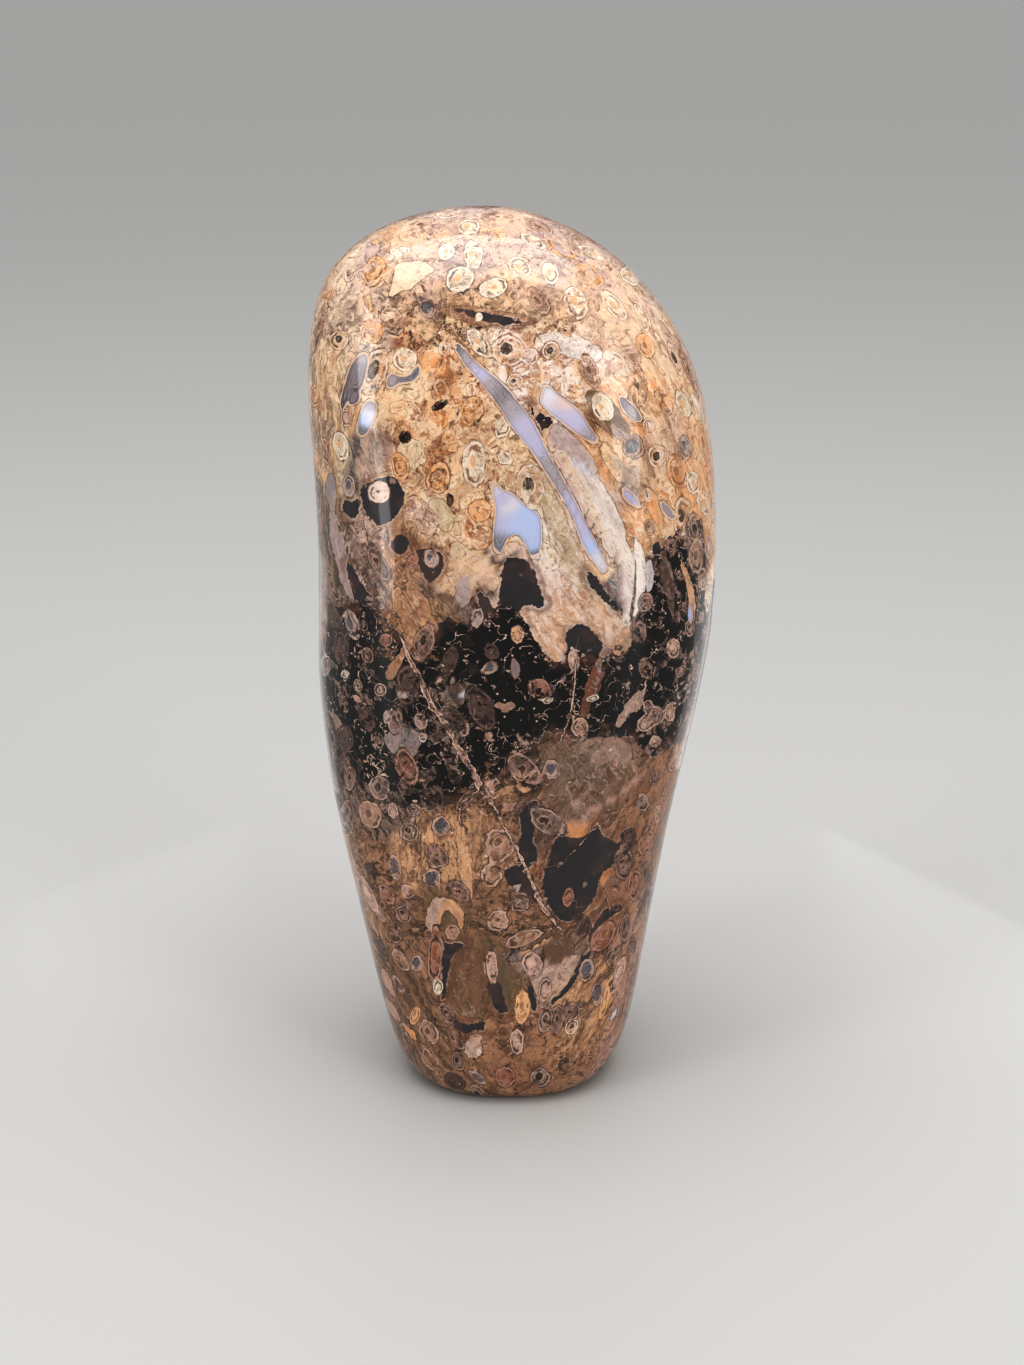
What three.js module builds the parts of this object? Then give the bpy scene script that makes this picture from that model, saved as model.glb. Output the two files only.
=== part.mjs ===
// A polished freeform of petrified palm wood, which is one piece of stone from foot to crown.
// Millimetres, +Z up. The origin is the middle of the flat cut foot, and the broad face looks along -Y.
import * as THREE from "three";

// Driving dimensions
const HEIGHT = 150; // foot to crown
const BREADTH = 66; // left to right where the stone is broadest
const THICKNESS = 50; // front to back where it is thickest

// The stone is shaped in levels, from the edge of the foot to the crown. Each row gives the level's height as
// a share of HEIGHT, how far its left and right edges lie from the middle as shares of half of BREADTH, and
// how far its front and back edges lie from it as shares of half of THICKNESS.
const LEVELS = [
  [0.0, -0.46, 0.43, -0.72, 0.56],
  [0.005, -0.54, 0.5, -0.79, 0.62],
  [0.02, -0.61, 0.57, -0.85, 0.68],
  [0.055, -0.67, 0.63, -0.89, 0.72],
  [0.11, -0.73, 0.68, -0.9, 0.77],
  [0.21, -0.82, 0.75, -0.92, 0.85],
  [0.34, -0.93, 0.85, -0.96, 0.91],
  [0.47, -0.98, 0.97, -1.0, 0.95],
  [0.56, -0.98, 1.02, -1.02, 0.97],
  [0.65, -0.98, 1.02, -1.03, 0.97],
  [0.73, -0.99, 1.0, -1.02, 0.96],
  [0.81, -1.0, 0.93, -0.97, 0.92],
  [0.885, -0.97, 0.77, -0.84, 0.82],
  [0.94, -0.86, 0.55, -0.67, 0.66],
  [0.975, -0.66, 0.31, -0.45, 0.46],
  [0.995, -0.39, 0.07, -0.22, 0.24],
  [1.0, -0.11, -0.11, 0.0, 0.0],
];

// A section is a rounded rectangle, flatter across the front than the back. Two gives an ellipse.
const FRONT_SQUARENESS = 2.55;
const BACK_SQUARENESS = 2.3;

// Grinding and polishing by hand leaves the faces in slow waves. Each row gives a wave's depth in millimetres,
// how many times it goes round the stone, how many times it runs up the height, and where it starts, in turns.
const WAVES = [
  [0.16, 3, 1.3, 0.15],
  [0.12, 5, -2.1, 0.6],
  [0.07, 8, 3.4, 0.35],
];

const FOOT_RINGS = [0, 0.4, 0.75, 0.92]; // rings across the flat foot, as shares of its size
const SIDE_RINGS = 60; // rings from the edge of the foot to the crown
const SEGMENTS = 72; // points round each ring

// The levels, with the curve carried over the crown to its far side so that the crown is round and not a cone.
const CROWN = LEVELS.length - 1;
const [, crownX, , crownY] = LEVELS[CROWN];
const [lastHeight, lastLeft, lastRight, lastFront, lastBack] = LEVELS[CROWN - 1];
const PAST_CROWN = [
  lastHeight,
  2 * crownX - lastLeft,
  2 * crownX - lastRight,
  2 * crownY - lastFront,
  2 * crownY - lastBack,
];

// A smooth curve through two columns of the levels. Its points hold the height and the two edges, in millimetres.
function edgeCurve(column, fullSize) {
  const points = [...LEVELS, PAST_CROWN].map(
    (level) =>
      new THREE.Vector3(
        level[0] * HEIGHT,
        (level[column] * fullSize) / 2,
        (level[column + 1] * fullSize) / 2,
      ),
  );
  return new THREE.CatmullRomCurve3(points, false, "catmullrom", 0.5);
}

const sideEdges = edgeCurve(1, BREADTH);
const faceEdges = edgeCurve(3, THICKNESS);

// A cosine or sine pushed towards the corners of a rounded rectangle.
function squared(value, squareness) {
  return Math.sign(value) * Math.abs(value) ** (2 / squareness);
}

// How far the hand polishing leaves the surface out or in. It fades out at the foot and the crown.
function waveDepth(angle, heightShare) {
  let depth = 0;
  for (const [size, round, up, start] of WAVES) {
    depth += size * Math.sin(round * angle + 2 * Math.PI * (up * heightShare + start));
  }
  return depth * Math.sin(Math.PI * heightShare);
}

// The point of the stone at an angle round it. The level runs from 0 at the edge of the foot to 1 at the crown,
// and the spread is 1 on the surface and less than 1 inside the ring, as across the foot.
function surfacePoint(level, angle, spread) {
  const along = (level * CROWN) / (CROWN + 1);
  const { x: height, y: left, z: right } = sideEdges.getPoint(along);
  const { y: front, z: back } = faceEdges.getPoint(along);
  const cosine = Math.cos(angle);
  const sine = Math.sin(angle);
  const squareness = sine < 0 ? FRONT_SQUARENESS : BACK_SQUARENESS;
  const depth = sine < 0 ? -front : back;
  const wave = waveDepth(angle, height / HEIGHT);
  const x = ((right - left) / 2) * squared(cosine, squareness) + wave * cosine;
  const y = depth * squared(sine, squareness) + wave * sine;
  return new THREE.Vector3((left + right) / 2 + x * spread, y * spread, height);
}

// The stone starts as a plain turned shape, a disc with a tube on its rim, and each of its points is then
// carried to its place on the stone.
function stoneGeometry() {
  const foot = FOOT_RINGS.map((spread) => new THREE.Vector2(spread, 0));
  const side = Array.from(
    { length: SIDE_RINGS + 1 },
    (_, ring) => new THREE.Vector2(1, ring / SIDE_RINGS),
  );
  const geometry = new THREE.LatheGeometry([...foot, ...side], SEGMENTS);
  geometry.rotateX(Math.PI / 2);
  const places = geometry.getAttribute("position");
  for (let i = 0; i < places.count; i++) {
    const angle = Math.atan2(places.getY(i), places.getX(i));
    const spread = Math.hypot(places.getX(i), places.getY(i));
    const level = THREE.MathUtils.clamp(places.getZ(i), 0, 1);
    const { x, y, z } = surfacePoint(level, angle, spread);
    places.setXYZ(i, x, y, z);
  }
  geometry.computeVertexNormals();
  return geometry;
}

// Brown and cream stone under a wet-looking polish
const polishedStone = new THREE.MeshStandardMaterial({
  color: new THREE.Color(0.36, 0.22, 0.13),
  roughness: 0.12,
  metalness: 0,
});

const stone = new THREE.Mesh(stoneGeometry(), polishedStone);
stone.name = "stone";

const petrifiedPalmWood = new THREE.Group();
petrifiedPalmWood.add(stone);

export default petrifiedPalmWood;
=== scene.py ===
# %% [markdown]
# # A polished freeform of petrified palm wood
#
# A mat of palm roots turned to stone, ground by hand to a rounded upright and polished until it looks wet.
# The solid model gives its size and form. This script gives the same form a finer skin, works out where the
# roots, agate windows, black glassy pockets and the healed crack lie on it, and colours them with nodes.

# %% Load the solid model
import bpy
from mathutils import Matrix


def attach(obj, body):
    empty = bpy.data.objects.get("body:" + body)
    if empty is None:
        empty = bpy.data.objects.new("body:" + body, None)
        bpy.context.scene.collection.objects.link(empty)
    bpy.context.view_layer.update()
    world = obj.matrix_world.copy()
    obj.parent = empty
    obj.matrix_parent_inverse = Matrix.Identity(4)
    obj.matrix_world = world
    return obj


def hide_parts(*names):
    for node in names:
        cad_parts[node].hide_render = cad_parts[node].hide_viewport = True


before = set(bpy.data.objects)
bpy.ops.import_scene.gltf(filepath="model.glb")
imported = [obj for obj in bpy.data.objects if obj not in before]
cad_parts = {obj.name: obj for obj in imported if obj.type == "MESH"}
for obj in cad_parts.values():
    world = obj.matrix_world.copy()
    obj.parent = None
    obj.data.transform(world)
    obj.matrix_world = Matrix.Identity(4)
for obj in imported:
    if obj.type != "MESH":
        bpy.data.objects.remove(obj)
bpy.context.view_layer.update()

# %% [markdown]
# The camera comes first, because the marks on the front are placed by where the photograph shows them. A
# mark's place is given in pixels of the photograph, and its size in millimetres of stone. The camera stands
# at the height of the crown and looks down by twenty degrees, like someone who bends over a shelf.

# %% Camera
import math

import bpy
import numpy as np
from mathutils import Vector
from mathutils.bvhtree import BVHTree

MM = 0.001
PHOTO_WIDTH, PHOTO_HEIGHT = 1024, 1365
LENS_MM, SENSOR_MM = 54.0, 36.0
LOOKING_DOWN = math.radians(20)
CAMERA_PLACE = np.array([0.0, -329.4, 190.0]) * MM
FOCAL_PIXELS = PHOTO_HEIGHT * LENS_MM / SENSOR_MM

AHEAD = np.array([0.0, math.cos(LOOKING_DOWN), -math.sin(LOOKING_DOWN)])
UPWARDS = np.array([0.0, math.sin(LOOKING_DOWN), math.cos(LOOKING_DOWN)])


def seen_at(points):
    """The pixels at which the camera sees points of the stone, and how many a millimetre takes there."""
    away = points - CAMERA_PLACE
    depth = away @ AHEAD
    across = PHOTO_WIDTH / 2 + FOCAL_PIXELS * away[:, 0] / depth
    down = PHOTO_HEIGHT / 2 - FOCAL_PIXELS * (away @ UPWARDS) / depth
    return np.stack([across, down], axis=1), FOCAL_PIXELS * MM / depth


def sight_line(pixel):
    """The direction in which the camera looks through a pixel."""
    across, down = pixel[0] - PHOTO_WIDTH / 2, PHOTO_HEIGHT / 2 - pixel[1]
    return Vector((across, 0, 0)) + Vector(AHEAD) * FOCAL_PIXELS + Vector(UPWARDS) * down


lens = bpy.data.cameras.new("camera")
lens.lens, lens.sensor_fit, lens.sensor_height = LENS_MM, "VERTICAL", SENSOR_MM
camera = bpy.data.objects.new("camera", lens)
camera.location = CAMERA_PLACE
camera.rotation_euler = (math.pi / 2 - LOOKING_DOWN, 0, 0)
bpy.context.scene.collection.objects.link(camera)
bpy.context.scene.camera = camera
print("camera at", CAMERA_PLACE, "metres, focal length", FOCAL_PIXELS, "pixels")

# %% [markdown]
# Nodes are built through two small classes. A Bench wraps a node tree and has one method that makes any
# node. A Field wraps an output socket, and sums and products of fields add the Math nodes that work them
# out, so a finish can be written as plain expressions.

# %% Nodes as expressions


class Field:
    """What an output socket gives at each point of a surface."""

    def __init__(self, bench, socket):
        self.bench, self.socket = bench, socket

    def output(self, name):
        """Another output of the same node."""
        return Field(self.bench, self.socket.node.outputs[name])

    def maths(self, operation, *values):
        sockets = dict(enumerate(values))
        return self.bench.node("ShaderNodeMath", {"operation": operation}, sockets)

    def __add__(self, value):
        return self.maths("ADD", self, value)

    def __sub__(self, value):
        return self.maths("SUBTRACT", self, value)

    def __rsub__(self, value):
        return self.maths("SUBTRACT", value, self)

    def __mul__(self, value):
        return self.maths("MULTIPLY", self, value)

    def __rtruediv__(self, value):
        return self.maths("DIVIDE", value, self)

    def __abs__(self):
        return self.maths("ABSOLUTE", self)

    __radd__, __rmul__ = __add__, __mul__


class Bench:
    """A node tree that nodes are added to."""

    def __init__(self, tree):
        self.tree = tree

    def node(self, kind, settings=None, sockets=None, output=0):
        """Adds a node. Its settings are set first, then the values or links of its sockets."""
        made = self.tree.nodes.new(kind)
        for name, value in (settings or {}).items():
            setattr(made, name, value)
        for name, value in (sockets or {}).items():
            known = {socket.identifier: socket for socket in made.inputs}
            socket = made.inputs[name] if isinstance(name, int) else known[name]
            if isinstance(value, Field):
                self.tree.links.new(value.socket, socket)
            else:
                socket.default_value = value
        return Field(self, made.outputs[output])

    def mix(self, share, first, second, blend="MIX"):
        """One colour going over to another by a share from 0 to 1."""
        settings = {"data_type": "RGBA", "blend_type": blend, "clamp_factor": True}
        sockets = {"Factor_Float": share, "A_Color": first, "B_Color": second}
        return self.node("ShaderNodeMix", settings, sockets, output=2)

    def rise(self, value, low, high):
        """A smooth step from 0 at the low value to 1 at the high one, which may be the lower of the two."""
        start, end = (low, high) if low < high else (high, low)
        to_start, to_end = (0.0, 1.0) if low < high else (1.0, 0.0)
        sockets = {"Value": value, "From Min": start, "From Max": end, "To Min": to_start, "To Max": to_end}
        return self.node("ShaderNodeMapRange", {"interpolation_type": "SMOOTHSTEP"}, sockets)

    def stripe(self, value, low, high, soft):
        """One between two values and nothing outside them, with soft edges."""
        return self.rise(value, low - soft, low + soft) * self.rise(value, high + soft, high - soft)


# %% [markdown]
# The solid model is faceted, so it needs a finer skin. Its points lie in level rings round the stone. The
# rings are read back from a merged copy and joined with four-sided faces, because triangles would show in
# the polish once they are rounded. Each face also gets its place on an unrolled map of the stone, like a
# label peeled off a jar, with the seam down the middle of the back.

# %% Rings of the solid model
FOOT_SPREADS = (0.9, 0.6, 0.3)  # rings across the flat foot, as shares of its size
SAME_TURN = 0.001  # radians within which two points of a ring stand for one


def values_of(data, name, width):
    """One of a mesh's lists of numbers as an array with a row for each of its items."""
    flat = np.zeros(len(data) * width, np.float32)
    data.foreach_get(name, flat)
    return flat.reshape(-1, width).astype(float)


def ring_round(points):
    """The outermost points of one level, in order round the stone, starting at the back."""
    middle = (points[:, 0].min() + points[:, 0].max()) / 2
    turn = np.round((np.arctan2(points[:, 1], points[:, 0] - middle) - math.pi / 2) % (2 * math.pi), 4)
    turn[turn > 2 * math.pi - SAME_TURN] = 0.0
    reach = np.hypot(points[:, 1], points[:, 0] - middle)
    order = np.lexsort((-reach, turn))
    first = np.concatenate([[True], np.diff(turn[order]) > SAME_TURN])
    return points[order][first]


def rings_of(node):
    """The rings of a node from its foot to its crown, and its crown point."""
    points = values_of(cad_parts[node].data.vertices, "co", 3)
    points = np.unique(np.round(points, 7), axis=0)
    levels = np.round(points[:, 2], 6)
    rings = [ring_round(points[levels == level]) for level in np.unique(levels)[:-1]]
    return rings, points[np.argmax(points[:, 2])]


rings, crown = rings_of("stone")
columns = len(rings[0])
middle_of_foot = rings[0].mean(axis=0)
foot = [middle_of_foot + (rings[0] - middle_of_foot) * spread for spread in reversed(FOOT_SPREADS)]
rows = np.array(foot + rings)
print(len(rings), "rings of", {len(ring) for ring in rings}, "points, crown at", crown.round(4))

# %% The coarse skin
steps_up = np.linalg.norm(np.diff(rows, axis=0), axis=2).mean(axis=1)
to_first = np.linalg.norm(rows[0] - middle_of_foot, axis=1).mean()
to_crown = np.linalg.norm(crown - rows[-1], axis=1).mean()
climb = np.cumsum([0.0, to_first, *steps_up, to_crown])
climb /= climb[-1]

points = np.vstack([[middle_of_foot], rows.reshape(-1, 3), [crown]])
first_of = 1 + columns * np.arange(len(rows))
faces, label = [], []
for c in range(columns):
    after = (c + 1) % columns
    left, right, centre = c / columns, (c + 1) / columns, (c + 0.5) / columns
    faces.append((0, first_of[0] + after, first_of[0] + c))
    label += [(centre, 0.0), (right, climb[1]), (left, climb[1])]
    for r in range(len(rows) - 1):
        low, high = first_of[r], first_of[r + 1]
        faces.append((low + c, low + after, high + after, high + c))
        label += [(left, climb[r + 1]), (right, climb[r + 1]), (right, climb[r + 2]), (left, climb[r + 2])]
    faces.append((first_of[-1] + c, first_of[-1] + after, len(points) - 1))
    label += [(left, climb[-2]), (right, climb[-2]), (centre, 1.0)]

coarse = bpy.data.meshes.new("coarse skin")
coarse.from_pydata(points.tolist(), [], [tuple(int(i) for i in face) for face in faces])
coarse.uv_layers.new(name="OFBake").data.foreach_set("uv", np.array(label, np.float32).ravel())
coarse.validate()
print(len(coarse.polygons), "faces in the coarse skin")

# %% [markdown]
# The finer skin follows a rule, so Geometry Nodes make it: every face is parted in four, twice over, and
# the points settle on a smooth surface. The edge of the flat foot stays sharp. Hand polishing leaves the
# surface very slightly uneven, which shows only in how the reflections wander, so the points are then moved
# in and out by a few hundredths of a millimetre.

# %% The fine skin
FINENESS = 2
POLISH_DEPTH = 0.05 * MM
POLISH_REACH = 9 * MM


def new_tree(name, inputs):
    """A geometry tree with named inputs, each given as its name, its kind of socket and its value."""
    tree = bpy.data.node_groups.new(name, "GeometryNodeTree")
    tree.interface.new_socket("Mesh", in_out="INPUT", socket_type="NodeSocketGeometry")
    tree.interface.new_socket("Mesh", in_out="OUTPUT", socket_type="NodeSocketGeometry")
    values = {}
    for title, kind, value in inputs:
        socket = tree.interface.new_socket(title, in_out="INPUT", socket_type=kind)
        values[socket.identifier] = value
    bench = Bench(tree)
    return bench, bench.node("NodeGroupInput"), values


def apply_tree(piece, bench, result, material, values):
    """Ends a tree, runs it on a piece with the values of its inputs, and returns the plain mesh."""
    real = bench.node("GeometryNodeRealizeInstances", sockets={"Geometry": result})
    finished = bench.node("GeometryNodeSetMaterial", sockets={"Geometry": real, "Material": material})
    ending = bench.tree.nodes.new("NodeGroupOutput")
    bench.tree.links.new(finished.socket, ending.inputs[0])
    modifier = piece.modifiers.new(bench.tree.name, "NODES")
    modifier.node_group = bench.tree
    for identifier, value in values.items():
        modifier[identifier] = value
    depsgraph = bpy.context.evaluated_depsgraph_get()
    evaluated = piece.evaluated_get(depsgraph)
    mesh = bpy.data.meshes.new_from_object(evaluated, preserve_all_data_layers=True, depsgraph=depsgraph)
    piece.modifiers.remove(modifier)
    return mesh


def skin_tree():
    """Parts every face, settles the points on a smooth surface and adds the faint waves of polishing."""
    bench, given, values = new_tree("polished skin", [
        ("Fineness", "NodeSocketInt", FINENESS),
        ("Wave Depth", "NodeSocketFloat", POLISH_DEPTH),
        ("Wave Length", "NodeSocketFloat", POLISH_REACH),
    ])
    place = bench.node("GeometryNodeInputPosition")
    height = bench.node("ShaderNodeSeparateXYZ", sockets={"Vector": place}, output=2)
    on_foot = 1 - bench.rise(height, 0.0, 0.1 * MM)
    finer = bench.node("GeometryNodeSubdivisionSurface", sockets={
        "Mesh": given, "Level": given.output("Fineness"), "Edge Crease": on_foot})
    waves = bench.node("ShaderNodeTexNoise", sockets={
        "Vector": place, "Scale": 1 / given.output("Wave Length"), "Detail": 1.0})
    depth = (waves - 0.5) * given.output("Wave Depth") * bench.rise(height, 0.0, 4 * MM)
    outwards = bench.node("ShaderNodeVectorMath", {"operation": "SCALE"}, {
        "Vector": bench.node("GeometryNodeInputNormal"), "Scale": depth})
    moved = bench.node("GeometryNodeSetPosition", sockets={"Geometry": finer, "Offset": outwards})
    smooth = bench.node("GeometryNodeSetShadeSmooth", sockets={"Geometry": moved, "Shade Smooth": True})
    return bench, smooth, values


polished_stone = bpy.data.materials.new("polished palm stone")
stone = bpy.data.objects.new("palm_stone", coarse)
bpy.context.scene.collection.objects.link(stone)
bench, skin, values = skin_tree()
stone.data = apply_tree(stone, bench, skin, polished_stone, values)
stone.data.name = "palm_stone"
print(len(stone.data.polygons), "faces in the fine skin")

# %% [markdown]
# The marks are placed next. A sight line through a pixel of the photograph is followed to the skin, which
# gives a mark its place on the stone. Colours are mixed from a small palette of the stone's own colours,
# written as screen values from 0 to 255.

# %% Places and palette
PALETTE = {
    "bone": (246, 232, 222), "cream": (248, 222, 190), "peach": (246, 206, 166), "blush": (228, 194, 176),
    "tan": (230, 180, 138), "honey": (238, 170, 114), "sienna": (166, 122, 92), "fawn": (174, 144, 128),
    "amber": (116, 88, 66), "rust": (148, 90, 62), "rosewood": (130, 101, 91), "brown": (90, 70, 60),
    "umber": (48, 36, 31), "black": (10, 8, 8), "olive": (106, 90, 68), "khaki": (222, 196, 160),
    "heather": (196, 174, 170), "mauve": (158, 144, 144), "plum": (100, 85, 90), "slate": (92, 92, 100),
    "sky": (176, 194, 234), "lilac": (186, 180, 208), "mist": (222, 214, 220), "rose": (206, 164, 148),
    "ochre": (184, 138, 106),
}
WELL_OUTSIDE = 200 * MM  # from the middle of the stone


def paint(name):
    """A palette colour as the nodes want it, which is in linear light."""
    share = np.array(PALETTE[name]) / 255
    linear = np.where(share < 0.04045, share / 12.92, ((share + 0.055) / 1.055) ** 2.4)
    return (*linear.tolist(), 1.0)


places = values_of(stone.data.vertices, "co", 3)
normals = values_of(stone.data.vertices, "normal", 3)
seen, pixels_per_mm = seen_at(places)
to_camera = CAMERA_PLACE - places
facing = (normals * to_camera).sum(axis=1) / np.linalg.norm(to_camera, axis=1)
tree_of_faces = BVHTree.FromObject(stone, bpy.context.evaluated_depsgraph_get())


def on_stone(pixel):
    """The point of the skin that the camera sees at a pixel, and which way the skin faces there."""
    hit, normal, _, _ = tree_of_faces.ray_cast(Vector(CAMERA_PLACE), sight_line(pixel))
    return np.array(hit), np.array(normal)


def round_the_back(turn, height):
    """The point of the skin at an angle round it, in degrees from the front, and a height in millimetres."""
    angle = math.radians(turn - 90)
    middle = Vector((0, 0, height * MM))
    outside = middle + Vector((math.cos(angle), math.sin(angle), 0)) * WELL_OUTSIDE
    hit, normal, _, _ = tree_of_faces.ray_cast(outside, middle - outside)
    return np.array(hit), np.array(normal)


print("the camera sees", int((facing > 0).sum()), "of", len(places), "points of the skin")

# %% [markdown]
# The ground is the matrix that the roots lie in. It is tan and crumbly at the top, dark in the middle and
# brown and clouded like resin below. Each kind of ground has its own colour, the colours of the gaps and
# the pale chips in it, how crumbly it is, and which way its grain runs. It shows in a few places: on the
# front at a pixel, and further round at a turn in degrees and a height in millimetres, each with a reach in
# millimetres.

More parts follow.
